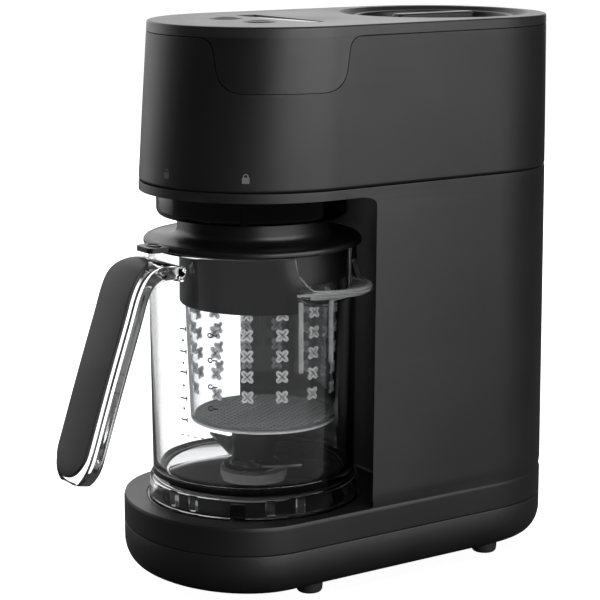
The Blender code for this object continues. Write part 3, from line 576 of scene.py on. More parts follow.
def area_light(name, azimuth, elevation, distance, size, power):
    """Soft box that looks at the object; azimuth as in the camera's."""
    a = math.radians(azimuth)
    e = math.radians(elevation)
    way = Vector((math.sin(a) * math.cos(e), -math.cos(a) * math.cos(e), math.sin(e)))
    data = bpy.data.lights.new(name, "AREA")
    data.shape = "RECTANGLE"
    data.size = size[0]
    data.size_y = size[1]
    data.energy = power
    obj = thing(name, data)
    aim(obj, LIT_POINT + way * distance, way)
    obj.visible_camera = False
    obj.visible_transmission = False
    return obj


def build_world():
    world = bpy.data.worlds.new("studio")
    bpy.context.scene.world = world
    world.use_nodes = True
    tree = world.node_tree
    shade = tree.nodes["Background"]
    shade.inputs["Color"].default_value = (1.0, 1.0, 1.0, 1.0)
    direct = direct_sight(tree, tree.nodes.new("ShaderNodeLightPath"))
    level = tree.nodes.new("ShaderNodeMapRange")
    level.inputs["To Min"].default_value = 0.05
    level.inputs["To Max"].default_value = 1.0
    tree.links.new(direct, level.inputs["Value"])
    tree.links.new(level.outputs["Result"], shade.inputs["Strength"])


def build_lights():
    key = area_light("key_right", 106.0, 14.0, 1.5, (1.4, 1.3), 21.0)
    strip = area_light("strip_right", 74.0, 4.0, 1.3, (0.22, 1.2), 3.6)
    area_light("rim_left", -70.0, 6.0, 1.4, (1.0, 1.2), 6.0)
    matt = bpy.data.collections.new("matt_case")
    bpy.context.scene.collection.children.link(matt)
    for light in (key, strip):
        light.light_linking.receiver_collection = matt
    return matt


def build_back_lights():
    area_light("back_top", 237.0, 26.0, 1.8, (2.2, 1.8), 18.0)
    overhead = area_light("overhead", 0.0, 89.0, 2.2, (2.6, 2.6), 45.0)
    overhead.visible_glossy = False
    glass = bpy.data.collections.new("glass_parts")
    bpy.context.scene.collection.children.link(glass)
    lip_light = area_light("lip_light", 198.0, 33.0, 1.5, (1.1, 0.9), 16.0)
    lip_light.light_linking.receiver_collection = glass
    return glass


EYE = Vector((0.9514, -0.6596, 0.3851))
TARGET = Vector((-0.0150, 0.0089, 0.1483))
LENS_MM = 125.74
SENSOR_MM = 36.0


def build_camera():
    data = bpy.data.cameras.new("camera")
    data.sensor_width = SENSOR_MM
    data.lens = LENS_MM
    camera = thing("camera", data)
    aim(camera, EYE, EYE - TARGET)
    bpy.context.scene.camera = camera
    bpy.context.scene.view_settings.view_transform = "Standard"


# ------------------------------------------------------------------ case
def bay_outline(grow, count=64):
    """Plan of the open jug bay, its back wall an arc about the jug axis."""
    outline = []
    radius = BAY_R + grow
    reach = math.radians(72.0)
    for i in range(count + 1):
        a = reach - 2 * reach * i / count
        outline.append((radius * math.sin(a), JUG_Y + radius * math.cos(a)))
    y_side = outline[0][1]
    outline += [(-90.0 * MM, y_side), (-90.0 * MM, -130.0 * MM)]
    outline += [(90.0 * MM, -130.0 * MM), (90.0 * MM, y_side)]
    return outline


def bay_cutter():
    """Bay solid with its top back edge rounded and a smaller round at the deck."""
    outline = bay_outline(0.0)
    bottom = [(DECK_Z + DECK_ROUND * up, DECK_ROUND * side) for up, side in quarter(3)]
    top = [(CEILING_Z - CEILING_ROUND * down, CEILING_ROUND * side) for side, down in quarter(6)]
    bm = bmesh.new()
    rows = []
    for z, inset in bottom + top:
        row = []
        for x, y in outline:
            way = Vector((x, y - JUG_Y))
            if y > JUG_Y + 20.0 * MM and abs(x) < 80.0 * MM:
                way = way.normalized() * (way.length - inset)
            row.append(bm.verts.new((way.x, JUG_Y + way.y, z)))
        rows.append(row)
    bridge(bm, rows)
    return finish_mesh(bm, "bay")


def build_body():
    z0 = BODY_LO.z - 0.1 * MM
    z1 = BODY_HI.z + 0.1 * MM
    levels = [(z0, 0.5 * MM), (z0 + 0.2 * MM, 0.15 * MM), (z0 + 0.6 * MM, 0.0),
              (DECK_Z - 2.2 * MM, 0.0), (DECK_Z - 1.0 * MM, 0.25 * MM), (DECK_Z, 0.6 * MM)]
    for k in range(1, 37):
        levels.append((DECK_Z + (z1 - 0.6 * MM - DECK_Z) * k / 36, 0.0))
    levels += [(z1 - 0.2 * MM, 0.15 * MM), (z1, 0.5 * MM)]
    body = thing("body_shell", case_loft("body_shell", levels, body_plan))
    hollow = case_loft("hollow", [
        (z0 - MM, WALL), (DECK_Z, WALL), (CEILING_Z, WALL), (z1 + MM, WALL)], body_plan)
    skin = prism("skin", bay_outline(WALL), DECK_Z - 4.0 * MM, CEILING_Z + WALL)
    hollow = carve(hollow, [("DIFFERENCE", skin)])
    groove = revolve("groove", [(49.7, 50.0), (60.3, 50.0), (60.3, 44.2), (49.7, 44.2)], JUG_Y)
    pocket = rod("pocket", (0.0, JUG_Y), 21.0 * MM, 40.0 * MM, 45.2 * MM)
    nozzle = rod("nozzle_hole", (0.0, JUG_Y), 9.3 * MM, 215.0 * MM, 230.0 * MM)
    gland = rod("gland_hole", (0.0, 0.0), 5.8 * MM, -12.0 * MM, 12.0 * MM, 40)
    gland.transform(Matrix.Rotation(math.radians(90.0), 4, "X"))
    gland.transform(Matrix.Translation((30.0 * MM, 146.0 * MM, 38.5 * MM)))
    cuts = (hollow, bay_cutter(), groove, pocket, nozzle, gland)
    combine(body, [("DIFFERENCE", mesh) for mesh in cuts])
    soften(body, 0.45 * MM, 45.0)
    put(body, "machine", "charcoal_plastic", CASE, "body_housing")


VENT_COUNT = 7
VENT_FIRST_Y = 20.0 * MM
VENT_PITCH = 9.0 * MM
VENT_SIZE = (44.0 * MM, 3.4 * MM, 8.0 * MM)


def build_pan():
    z0 = PAN_LO.z
    z1 = PAN_HI.z
    height = z1 - z0
    levels = [(z0 + 2.4 * MM, 11.0 * MM), (z0, 11.0 * MM)]
    levels += [(z0 + height * PAN_CURVE * up, PAN_TUCK * side) for up, side in quarter(12)]
    levels += [(z1 - 0.6 * MM, 0.0), (z1 - 0.2 * MM, 0.15 * MM), (z1, 0.5 * MM), (z1, WALL),
               (z0 + height * PAN_CURVE, WALL), (z0 + 3.0 * MM, 10.8 * MM)]
    rim = case_loft("pan_rim", levels, lambda z: BASE_PLAN, capped=False)
    pan = thing("base_shell", rim)
    floor = case_loft("pan_floor", [(z0, 10.0 * MM), (z0 + WALL, 10.0 * MM)],
                      lambda z: BASE_PLAN)
    tools = [("UNION", floor)]
    for i in range(1, 5):
        place = spot("foot_%d" % i)
        tools.append(("DIFFERENCE", rod("hole", place, 2.7 * MM, 5.0 * MM, 15.0 * MM, 24)))
        place = spot("case_screw_%d" % i)
        tools.append(("DIFFERENCE", rod("hole", place, 4.0 * MM, 5.0 * MM, 15.0 * MM, 32)))
    for k in range(VENT_COUNT):
        place = (0.0, VENT_FIRST_Y + VENT_PITCH * k, z0)
        tools.append(("DIFFERENCE", block("vent", place, VENT_SIZE, 1.5 * MM)))
    combine(pan, tools)
    smooth(pan.data, 32.0)
    put(pan, "machine", "charcoal_plastic", CASE, "base_pan")


def tab_outline(grow):
    """Front of the cover's drop-down tab, (across, height)."""
    high = COVER_Z0 / MM
    low = 275.8
    right = rounded([(52.0, high + 2.0), (52.0, high), (36.8, high, 7.0), (33.0, low, 12.5),
                     (0.0, low)], steps=10)
    right = [(u * MM + grow, z * MM - grow) for u, z in right[:-1]]
    left = [(-u, z) for u, z in reversed(right)]
    return right + left


def tab_prism(grow):
    """The tab outline pushed straight through the curved wall at its angle."""
    across = Vector((math.cos(TAB_ANGLE), math.sin(TAB_ANGLE), 0.0))
    out = Vector((math.sin(TAB_ANGLE), -math.cos(TAB_ANGLE), 0.0))
    centre = Vector((0.0, FRONT_C_NECK, 0.0))
    bm = bmesh.new()
    rows = []
    for depth in (30.0 * MM, 90.0 * MM):
        row = []
        for u, z in tab_outline(grow):
            row.append(bm.verts.new(centre + across * u + out * depth + Vector((0.0, 0.0, z))))
        rows.append(row)
    bridge(bm, rows)
    return finish_mesh(bm, "tab")


def build_head():
    z0 = HEAD_LO.z - 0.1 * MM
    z1 = HEAD_HI.z
    levels = [(z0 + HEAD_ROUND * up, HEAD_ROUND * side) for up, side in quarter(6)]
    for k in range(1, 20):
        levels.append((z0 + (z1 - z0 - 0.6 * MM) * k / 20 + 1.0 * MM, 0.0))
    levels += [(z1 - 0.6 * MM, 0.0), (z1 - 0.2 * MM, 0.15 * MM), (z1, 0.5 * MM), (z1, WALL),
               (z0 + 40.0 * MM, WALL), (z0, WALL)]
    head = thing("head_shell", case_loft("head_shell", levels, case_plan, capped=False))
    combine(head, [("DIFFERENCE", tab_prism(0.35 * MM))])
    soften(head, 0.3 * MM, 50.0)
    put(head, "machine", "charcoal_plastic", CASE, "head_housing")


def build_cover():
    levels = [(COVER_Z0, WALL), (COVER_Z0, 0.0)]
    levels += [(TOP_Z - COVER_ROUND * down, COVER_ROUND * side) for side, down in quarter(5)]
    levels += [(TOP_Z, COVER_ROUND + 0.3 * MM), (TOP_Z, COVER_ROUND + 1.2 * MM)]
    cover = thing("cover_shell", case_loft("cover_shell", levels, case_plan))
    rise = [(268.0 + 2.0 * k) * MM for k in range(20)]
    sides = [(z, 0.02 * MM) for z in rise] + [(z, WALL) for z in reversed(rise)]
    wall = case_loft("tab_wall", sides, case_plan, capped=False)
    tab = thing("tab_part", wall)
    combine(tab, [("INTERSECT", tab_prism(0.0))])
    tab.name = "cover_tab"
    soften(tab, 0.3 * MM, 50.0)
    put(tab, "machine", "charcoal_plastic", TOP)
    hollow = case_loft("hollow", [(COVER_Z0 - MM, WALL), (TOP_Z - 2.8 * MM, WALL)], case_plan)
    collar = revolve("collar", [(56.6, 309.0), (49.4, 299.6), (46.4, 299.6), (46.4, 309.0)], CAP_Y)
    opening = revolve("opening", [(0.0, 310.6), (54.8, 310.6), (54.2, 310.0), (46.8, 302.6),
                                  (46.6, 290.0), (0.0, 290.0)], CAP_Y, closed=False)
    window = block("window", (0.0, DISPLAY_Y, 310.0 * MM), (68.6 * MM, 12.6 * MM, 3.0 * MM),
                   1.0 * MM)
    slot = block("slot", (0.0, DISPLAY_Y, 308.0 * MM), (56.0 * MM, 7.0 * MM, 8.0 * MM), 1.0 * MM)
    tools = [("DIFFERENCE", hollow), ("UNION", collar),
             ("DIFFERENCE", opening), ("DIFFERENCE", window), ("DIFFERENCE", slot)]
    for tag in ("left", "right"):
        place = spot("button_" + tag)
        tools.append(("DIFFERENCE", rod("hole", place, 8.85 * MM, 300.0 * MM, 315.0 * MM)))
    combine(cover, tools)
    soften(cover, 0.3 * MM, 50.0)
    put(cover, "machine", "charcoal_plastic", TOP, "top_cover")


def wall_patch(outline, theta, height, proud):
    """Thin printed or raised mark that follows the upper case; outline is (across, up) in mm."""
    bm = bmesh.new()
    verts = []
    for u, w in outline:
        z = height + w * MM
        half, front_tip, front_c = case_plan(z)[:3]
        a = math.radians(theta) + u * MM / (0.5 * (half + front_c - front_tip))
        x = (half + proud) * math.sin(a)
        y = front_c - (front_c - front_tip + proud) * math.cos(a)
        verts.append(bm.verts.new((x, y, z)))
    bm.faces.new(verts)
    bmesh.ops.triangulate(bm, faces=bm.faces[:])
    return bm


def arc_points(cx, cy, radius, start, end, count):
    return [(cx + radius * math.cos(math.radians(start + (end - start) * i / count)),
             cy + radius * math.sin(math.radians(start + (end - start) * i / count)))
            for i in range(count + 1)]


def merge(parts, name):
    """One mesh out of several bmeshes."""
    whole = bmesh.new()
    for part in parts:
        mesh = bpy.data.meshes.new("part")
        part.to_mesh(mesh)
        part.free()
        whole.from_mesh(mesh)
    mesh = bpy.data.meshes.new(name)
    whole.to_mesh(mesh)
    whole.free()
    return mesh


def build_icons():
    """Plain padlock marks over the bay: closed on the locked side, open on the other."""
    for tag, theta, open_by, mat in (("locked", 48.9, 0.0, PRINT), ("unlocked", 9.0, 1.6, MARK)):
        body = rounded([(-2.0, -2.2, 0.5), (2.0, -2.2, 0.5), (2.0, 1.0, 0.5), (-2.0, 1.0, 0.5)],
                       closed=True)
        outer = arc_points(0.0, 1.4, 1.5, 0.0, 180.0, 10)
        inner = arc_points(0.0, 1.4, 0.9, 180.0, 0.0, 10)
        shackle = [(1.5, 0.8)] + outer + [(-1.5, 0.8 + open_by), (-0.9, 0.8 + open_by)]
        shackle += inner + [(0.9, 0.8)]
        parts = [wall_patch(shape, theta, ICON_Z, 0.06 * MM) for shape in (body, shackle)]
        obj = thing("icon_" + tag, merge(parts, "icon_" + tag))
        put(obj, "machine", "white_plastic", mat)


# ------------------------------------------------------------------ top controls
def build_controls():
    lens = block("lens", (0.0, DISPLAY_Y, 309.2 * MM), (68.0 * MM, 12.0 * MM, 1.0 * MM), 0.3 * MM)
    put(thing("display_lens", lens), "machine", "gloss_black_plastic", LENS, "display_window")
    for tag in ("left", "right"):
        place = spot("button_" + tag)
        profile = rounded([(0.0, 309.6), (5.4, 309.9, 1.0), (6.6, 310.45, 0.6), (7.7, 310.5, 0.5),
                           (8.5, 309.8, 0.6), (8.5, 306.0, 0.3), (3.0, 306.0), (3.0, 302.3),
                           (0.0, 302.3)])
        mesh = revolve("button", profile, place.y, 72, closed=False, centre_x=place.x)
        put(thing("button_cap_" + tag, mesh), "button_" + tag, "charcoal_plastic", BUTTON,
            "button_" + tag)
        ring = revolve("ring", [(3.4, 309.92), (3.4, 309.80), (2.5, 309.76), (2.5, 309.86)],
                       place.y, 48, centre_x=place.x)
        put(thing("button_ring_" + tag, ring), "button_" + tag, "gloss_black_plastic", DIAL)


def build_cap():
    profile = rounded([(0.0, 298.2), (41.6, 298.2, 2.4), (43.8, 307.6, 0.8), (44.6, 308.2, 0.5),
                       (45.6, 308.2, 0.5), (46.0, 307.4, 0.4), (46.0, 295.4, 0.5), (38.6, 295.4),
                       (38.6, 289.2, 0.5), (36.4, 289.2), (36.4, 295.4), (0.0, 295.4)])
    cap = thing("cap_dish", revolve("cap_dish", profile, CAP_Y, 160, closed=False))
    bm = bmesh.new()
    length = 27.6
    rows = []
    for z, grow in ((297.6, 1.6), (299.0, 0.5), (301.0, 0.0), (308.4, -0.4), (309.2, -0.9),
                    (309.5, -1.2), (309.6, -1.6), (309.6, -2.0)):
        row = []
        for x, y in rounded([(-5.0 - grow, -length - grow, 3.0), (5.0 + grow, -length - grow, 3.0),
                             (5.0 + grow, length + grow, 3.0), (-5.0 - grow, length + grow, 3.0)],
                            closed=True, steps=6):
            row.append(bm.verts.new((x * MM, CAP_Y + y * MM, z * MM)))
        rows.append(row)
    bridge(bm, rows)
    grip = finish_mesh(bm, "grip", 40.0)
    combine(cap, [("UNION", grip)])
    soften(cap, 0.3 * MM, 50.0)
    put(cap, "tank_cap", "charcoal_plastic", CAP, "tank_cap")
    outer = arc_points(0.0, 0.0, 1.0, 0.0, 360.0, 32)[:-1]
    bm = bmesh.new()
    top = []
    for scale in (1.0, 0.72):
        top.append([bm.verts.new((x * 2.6 * scale * MM, CAP_Y + y * 6.5 * (scale + 0.14) * MM,
                                  309.64 * MM)) for x, y in outer])
    bridge(bm, top, caps=False)
    put(thing("grip_mark", finish_mesh(bm, "grip_mark")), "tank_cap", "gloss_black_plastic", DIAL)


# ------------------------------------------------------------------ steam side
def build_collar():
    profile = rounded([(53.0, 218.7), (53.0, 207.4, 1.0), (51.4, 205.0, 1.2), (46.0, 205.0, 1.2),
                       (44.4, 206.6, 0.8), (44.4, 218.7)])
    collar = thing("collar_ring", revolve("collar_ring", profile, JUG_Y, 160))
    tools = []
    for angle in (52.0, 128.0):
        slot = block("slot", (0.0, -53.2 * MM, 212.0 * MM), (4.0 * MM, 3.0 * MM, 16.0 * MM),
                     0.3 * MM)
        tools.append(("DIFFERENCE", at_angle(slot, angle, JUG_Y)))
    combine(collar, tools)
    soften(collar, 0.25 * MM, 50.0)
    put(collar, "machine", "gloss_black_plastic", GLOSS, "steam_collar")
    ring = revolve("ring", rounded([(50.0, 46.2, 0.4), (50.0, 44.6), (60.0, 44.6),
                                    (60.0, 46.2, 0.4)], closed=True), JUG_Y, 128)
    put(thing("turn_ring", ring), "lock_ring", "gloss_black_plastic", GLOSS, "jug_lock_ring")


# ------------------------------------------------------------------ jug
NOTCH_MID = 115.0
NOTCH_HALF = 35.0
LIP_REACH = 15.3
BEAD_R = 0.75
JUG_RIM = JUG_HI.z / MM
JUG_R = 57.6
JUG_R_LOW = 56.4
JUG_WALL = 2.9
WALL_Z = 66.0


def wall_r(z):
    """Outer radius of the jug wall at a height, in mm."""
    return JUG_R_LOW + (JUG_R - JUG_R_LOW) * (min(z, JUG_RIM) - WALL_Z) / (JUG_RIM - WALL_Z)


def smoothstep(t):
    t = min(1.0, max(0.0, t))
    return t * t * (3.0 - 2.0 * t)


def lip(angle):
    """How far the pouring lip stands out at an angle, 0 to 1."""
    u = abs((angle + 180.0) % 360.0 - 180.0 - NOTCH_MID) / NOTCH_HALF
    return math.cos(min(u, 1.0) * math.pi / 2) ** 2


def rim_height(angle):
    """Height of the jug rim, cut down where the lip is."""
    off = abs((angle + 180.0) % 360.0 - 180.0 - NOTCH_MID)
    inside = NOTCH_HALF - off
    if inside <= 0.0:
        return JUG_RIM
    step = smoothstep(inside / 2.6)
    low = 170.2 + 8.6 * (1.0 - smoothstep((inside - 1.0) / 10.0))
    return JUG_RIM + (low - JUG_RIM) * step


LIP_OUTER = [(1.0, None), (1.0, 168.4), (0.97, 166.9), (0.86, 165.9), (0.6, 165.4), (0.3, 164.7),
             (0.1, 163.4), (0.0, 160.0)]
LIP_INNER = [(0.0, 163.0), (0.08, 166.0), (0.3, 167.5), (0.6, 168.1), (0.84, 168.5), (0.94, 169.2),
             (1.0, None)]


def build_lip_edge():
    """Polished bead round the free edge of the lip, frosted white as a painted highlight."""
    path = []
    for k in range(61):
        angle = NOTCH_MID - NOTCH_HALF - 1.5 + (2 * NOTCH_HALF + 3.0) * k / 60
        if abs(angle - NOTCH_MID) >= NOTCH_HALF:
            continue
        a = math.radians(angle)
        r = 56.6 + LIP_REACH * lip(angle)
        path.append(Vector((r * math.sin(a), JUG_Y / MM - r * math.cos(a), 168.0)))
    bm = bmesh.new()
    rows = []
    for i, place in enumerate(path):
        along = (path[min(i + 1, len(path) - 1)] - path[max(i - 1, 0)]).normalized()
        side = along.cross(Vector((0.0, 0.0, 1.0))).normalized()
        row = []
        for k in range(10):
            b = 2 * math.pi * k / 10
            point = place + side * (BEAD_R * math.cos(b)) + Vector((0, 0, BEAD_R * math.sin(b)))
            row.append(bm.verts.new(point * MM))
        rows.append(row)
    bridge(bm, rows)
    # the bead is frosted white as a painted highlight
    put(thing("lip_bead", finish_mesh(bm, "lip_bead", 60.0)), "jug", "clear_plastic", LIP_HIGHLIGHT)


def build_jug():
    low = [(JUG_R_LOW, WALL_Z, 3.0), (JUG_R_LOW, 60.2, 1.0), (58.3, 57.2, 2.4), (59.0, 46.9, 1.0),
           (56.4, 46.9, 0.6), (55.4, 56.4, 1.2), (52.0, 57.4, 1.0), (13.2, 57.4), (13.2, 60.5),
           (49.6, 60.5, 2.0), (52.9, 62.6, 2.0), (53.5, 68.0)]
    low = rounded([(56.6, 78.0)] + low, steps=4)
    outer = [("out", f, z) for f, z in LIP_OUTER]
    inner = [("in", f, z) for f, z in LIP_INNER]
    keys = outer + [("plain", r, z) for r, z in low] + inner
    keys += [("top", 2.55, 0.25), ("top", 2.1, 0.0), ("top", 0.8, 0.0), ("top", 0.35, 0.25)]

    def bend(angle, index):
        kind, a, b = keys[index]
        stand = LIP_REACH * lip(angle)
        top = rim_height(angle)
        if kind == "plain":
            return a, b
        if kind == "top":
            return wall_r(top) + stand - a - 0.05, top - b
        z = top - 0.6 if b is None else min(b, top - 0.7)
        base = wall_r(z)
        if kind == "out":
            return base + stand * a, z
        thick = JUG_WALL - 0.5 * a * lip(angle)
        return base - thick + stand * a, z

    angles = []
    a = 0.0
    while a < 360.0 - 1e-6:
        angles.append(a)
        edge = min(abs(a - 80.0), abs(a - 150.0))
        a += 0.35 if edge < 3.5 else (1.25 if 76.0 < a < 154.0 else 2.5)
    jug = thing("jug_wall", revolve("jug_wall", [(0.0, 0.0)] * len(keys), JUG_Y, bend=bend,
                                    angles=angles))
    notch = block("notch", (0.0, -59.0 * MM, 49.5 * MM), (8.0 * MM, 14.0 * MM, 11.0 * MM), 0.6 * MM)
    combine(jug, [("DIFFERENCE", at_angle(notch, LOCK_DEGREES, JUG_Y))])
    smooth(jug.data, 40.0)
    put(jug, "jug", "clear_plastic", CLEAR, "jug")
    # upward-facing faces of the rim and lip are frosted white as a painted highlight
    jug.data.materials.append(LIP_HIGHLIGHT)
    for face in jug.data.polygons:
        place = face.center / MM
        reach = math.hypot(place.x, place.y - JUG_Y / MM)
        if face.normal.z > 0.35 and 164.0 < place.z < 182.0 and reach > 55.0:
            face.material_index = 1
    build_lip_edge()
    for tag, angle, low_z in (("near", 84.6, 125.0), ("far", 106.7, 128.0)):
        rib = block("rib", (0.0, -(JUG_R - JUG_WALL - 1.25) * MM, (low_z + 164.0) / 2 * MM),
                    (2.6 * MM, 1.7 * MM, (164.0 - low_z) * MM), 0.75 * MM, 4)
        put(thing("jug_rib_" + tag, at_angle(rib, angle, JUG_Y)), "jug", "clear_plastic", FROST)
    for k, angle in enumerate((5.0, 20.0, 66.0, 84.0)):
        lug = block("lug", (0.0, -54.0 * MM, 52.0 * MM), (5.0 * MM, 2.4 * MM, 8.4 * MM), 0.6 * MM)
        put(thing("skirt_lug_%d" % (k + 1), at_angle(lug, angle, JUG_Y)), "jug", "clear_plastic",
            CLEAR)


def jug_patch(outline, theta, height, proud=0.05):
    """Flat mark laid on the jug wall; outline is (across, up) in mm."""
    bm = bmesh.new()
    verts = []
    for u, w in outline:
        z = height + w
        r = wall_r(z) + proud
        a = math.radians(theta) + u / r
        verts.append(bm.verts.new((r * MM * math.sin(a), JUG_Y - r * MM * math.cos(a), z * MM)))
    bm.faces.new(verts)
    bmesh.ops.triangulate(bm, faces=bm.faces[:])
    return bm


def bar(u0, w0, u1, w1):
    return [(u0, w0), (u1, w0), (u1, w1), (u0, w1)]


TICK_ANGLE = 15.7
RING_ANGLE = 34.4


def build_scale():
    """Fill marks: ticks with dots between them, and a row of small ring-and-stem marks."""
    parts = []
    for z in (148.8, 136.5, 125.1, 110.6, 98.7):
        parts.append(jug_patch(bar(-2.4, -0.4, 2.4, 0.4), TICK_ANGLE, z))
        parts.append(jug_patch(bar(1.6, -1.3, 2.4, 1.3), TICK_ANGLE, z))
    for z in (142.5, 130.1, 117.6, 104.9):
        parts.append(jug_patch(arc_points(0.0, 0.0, 0.75, 0.0, 324.0, 9), TICK_ANGLE, z))
    for z in (147.0, 133.5, 119.0, 107.0):
        ring = arc_points(-1.4, 0.0, 1.5, 20.0, 340.0, 16)
        ring += arc_points(-1.4, 0.0, 0.85, 340.0, 20.0, 16)
        parts.append(jug_patch(ring, RING_ANGLE, z))
        parts.append(jug_patch(bar(-0.2, -0.35, 2.8, 0.35), RING_ANGLE, z))
    for k in range(4):
        parts.append(jug_patch(bar(-1.0, -0.3, 1.0, 0.3), 14.0 + 4.5 * k, 90.0))
    put(thing("fill_marks", merge(parts, "fill_marks")), "jug", "gloss_black_plastic", DIAL)


# ------------------------------------------------------------------ handle
SPINE = [(-88.6, 178.6), (-96.0, 180.2), (-104.0, 179.6), (-110.0, 176.0), (-114.2, 169.0),
         (-118.6, 156.0), (-123.8, 141.0), (-130.0, 123.0), (-136.0, 105.0), (-141.6, 88.0),
         (-145.9, 76.0), (-147.3, 69.5)]


def spine_curve(points, per_span=12):
    """Smooth curve through the points, as (place, length along) pairs in mm."""
    dense = []
    ends = [2 * Vector(points[0]) - Vector(points[1])] + [Vector(p) for p in points]
    ends.append(2 * Vector(points[-1]) - Vector(points[-2]))
    for p0, p1, p2, p3 in zip(ends, ends[1:], ends[2:], ends[3:]):
        for k in range(per_span):
            t = k / per_span
            dense.append(0.5 * ((2 * p1) + (p2 - p0) * t + (2 * p0 - 5 * p1 + 4 * p2 - p3) * t ** 2
                                + (3 * p1 - p0 - 3 * p2 + p3) * t ** 3))
    dense.append(ends[-2])
    lengths = [0.0]
    for a, b in zip(dense, dense[1:]):
        lengths.append(lengths[-1] + (b - a).length)
    return dense, lengths


DENSE, LENGTHS = spine_curve(SPINE)
STRAP_WIDTH = 38.0
STRAP_THICK = 8.4
INLAY_WIDTH = 31.0
INLAY_THICK = 2.0


def spine_at(s):
    """Point and outward normal at a length along the handle, (y, z) in mm."""
    s = min(max(s, 0.0), LENGTHS[-1])
    k = max(i for i, value in enumerate(LENGTHS) if value <= s + 1e-9)
    k = min(k, len(DENSE) - 2)
    span = LENGTHS[k + 1] - LENGTHS[k]
    t = (s - LENGTHS[k]) / span
    place = DENSE[k].lerp(DENSE[k + 1], t)
    a = DENSE[max(k - 3, 0)]
    b = DENSE[min(k + 4, len(DENSE) - 1)]
    along = (b - a).normalized()
    return place, Vector((along.y, -along.x))


def strap(name, start, end, width, thickness, offset, corner, round_start, round_end, crown=0.0):
    """Bar swept along the handle; its ends are rounded in plan by the given lengths."""
    if round_start:
        stations = [(start + round_start * gone, 1.0 - less) for gone, less in quarter(16)]
    else:
        stations = [(start, 1.0)]
    s = start + round_start + 2.0
    while s < end - round_end - 1.0:
        stations.append((s, 1.0))
        s += 2.5
    stations += [(end - round_end * left, 1.0 - gone) for gone, left in quarter(16)]
    bm = bmesh.new()
    rows = []
    for s, grow in stations:
        place, out = spine_at(s)
        half = max(width / 2 * grow, 0.05)
        t = thickness / 2
        c = min(corner, half * 0.95)
        outline = rounded([(half, t, c), (half, -t, c), (0.0, -t), (-half, -t, c), (-half, t, c),
                           (0.0, t + crown)], closed=True, steps=5)
        row = []
        for x, n in outline:
            point = place + out * (offset + n)
            row.append(bm.verts.new((x * MM, point.x * MM, point.y * MM)))
        rows.append(row)
    bridge(bm, rows)
    return finish_mesh(bm, name, 40.0)


def build_handle():
    total = LENGTHS[-1]
    mesh = strap("handle_strap", 0.0, total + 2.4, STRAP_WIDTH, STRAP_THICK, 0.0, 2.4, 0.0,
                 17.0)
    handle = thing("handle_strap", mesh)
    combine(handle, [("DIFFERENCE", rod("root", (0.0, JUG_Y), (JUG_R + 0.3) * MM, 150.0 * MM,
                                        210.0 * MM, 256))])
    smooth(handle.data, 40.0)
    put(handle, "jug", "clear_plastic", CLEAR, "jug_handle")
    offset = STRAP_THICK / 2 + 0.3 + 1.1
    inlay = strap("grip_inlay", 13.0, total - 3.0, INLAY_WIDTH, INLAY_THICK, offset, 0.8, 13.0,
                  15.0, crown=0.15)
    put(thing("grip_inlay", inlay), "jug", "charcoal_plastic", INLAY, "handle_inlay")


# ------------------------------------------------------------------ lid
SKIRT_GAP_START = 79.0
SKIRT_GAP_SPAN = 71.0


def build_lid():
    profile = rounded([(41.6, 204.2, 0.6), (41.6, 195.6, 2.2), (45.2, 193.0, 1.6),
                       (57.0, 192.6, 0.6), (57.6, 192.9, 0.5), (59.4, 192.6, 0.8),
                       (60.2, 191.4, 0.6), (60.2, 189.6, 0.4), (7.0, 189.6), (7.0, 192.4),
                       (38.6, 192.4, 1.0), (38.6, 204.2, 0.6)], closed=True)
    lid = thing("lid_plate", revolve("lid_plate", profile, JUG_Y, 160))
    skirt = revolve("skirt", [(46.4, 190.6), (46.4, 156.4), (45.8, 155.6), (44.9, 155.6),
                              (44.4, 156.2), (44.4, 190.6)], BASKET_Y, 128)
    opening = []
    for i in range(25):
        a = math.radians(SKIRT_GAP_START + SKIRT_GAP_SPAN * i / 24)
        opening.append((60.0 * MM * math.sin(a), BASKET_Y - 60.0 * MM * math.cos(a)))
    opening += [(0.0, BASKET_Y + 12.0 * MM), (12.0 * MM, BASKET_Y)]
    window = prism("window", opening, 150.0 * MM, 170.0 * MM)
    skirt = carve(skirt, [("DIFFERENCE", window)])
    tab_lo = LID_LO.y / MM - JUG_Y / MM
    shape = rounded([(-11.0, -54.0), (-8.6, -60.0, 3.0), (-8.2, tab_lo, 4.2),
                     (8.2, tab_lo, 4.2), (8.6, -60.0, 3.0), (11.0, -54.0)], steps=8)
    tab = prism("tab", [(x * MM, JUG_Y + y * MM) for x, y in shape], 189.65 * MM, 192.5 * MM)
    combine(lid, [("UNION", skirt), ("UNION", tab)])
    soften(lid, 0.3 * MM, 50.0)
    put(lid, "lid", "gloss_black_plastic", LID, "jug_lid")
    bm = bmesh.new()
    rows = []
    count = 40
    for i in range(count):
        a = 2 * math.pi * i / count
        centre = Vector((5.2 * math.cos(a), tab_lo + 7.2 + 3.0 * math.sin(a)))
        away = Vector((math.cos(a), math.sin(a)))
        row = []
        for k in range(8):
            b = 2 * math.pi * k / 8
            p = centre + away * (0.55 * math.cos(b))
            row.append(bm.verts.new((p.x * MM, JUG_Y + p.y * MM,
                                     (192.55 + 0.45 * math.sin(b)) * MM)))
        rows.append(row)
    for i in range(count):
        other = rows[(i + 1) % count]
        for k in range(8):
            m = (k + 1) % 8
            bm.faces.new((rows[i][k], other[k], other[m], rows[i][m]))
    put(thing("lid_tab_ring", finish_mesh(bm, "lid_tab_ring", 60.0)), "lid", "gloss_black_plastic",
        LID)


# ------------------------------------------------------------------ basket
BASKET_TOP = BASKET_HI.z / MM
BASKET_BOTTOM = BASKET_LO.z / MM
BASKET_R_TOP = BASKET_HI.x / MM
BASKET_R_LOW = 41.0
CROSS_COLUMNS = 14
CROSS_FIRST = 44.6
CROSS_ROWS = (155.2, 143.8, 132.2, 120.6, 109.2)
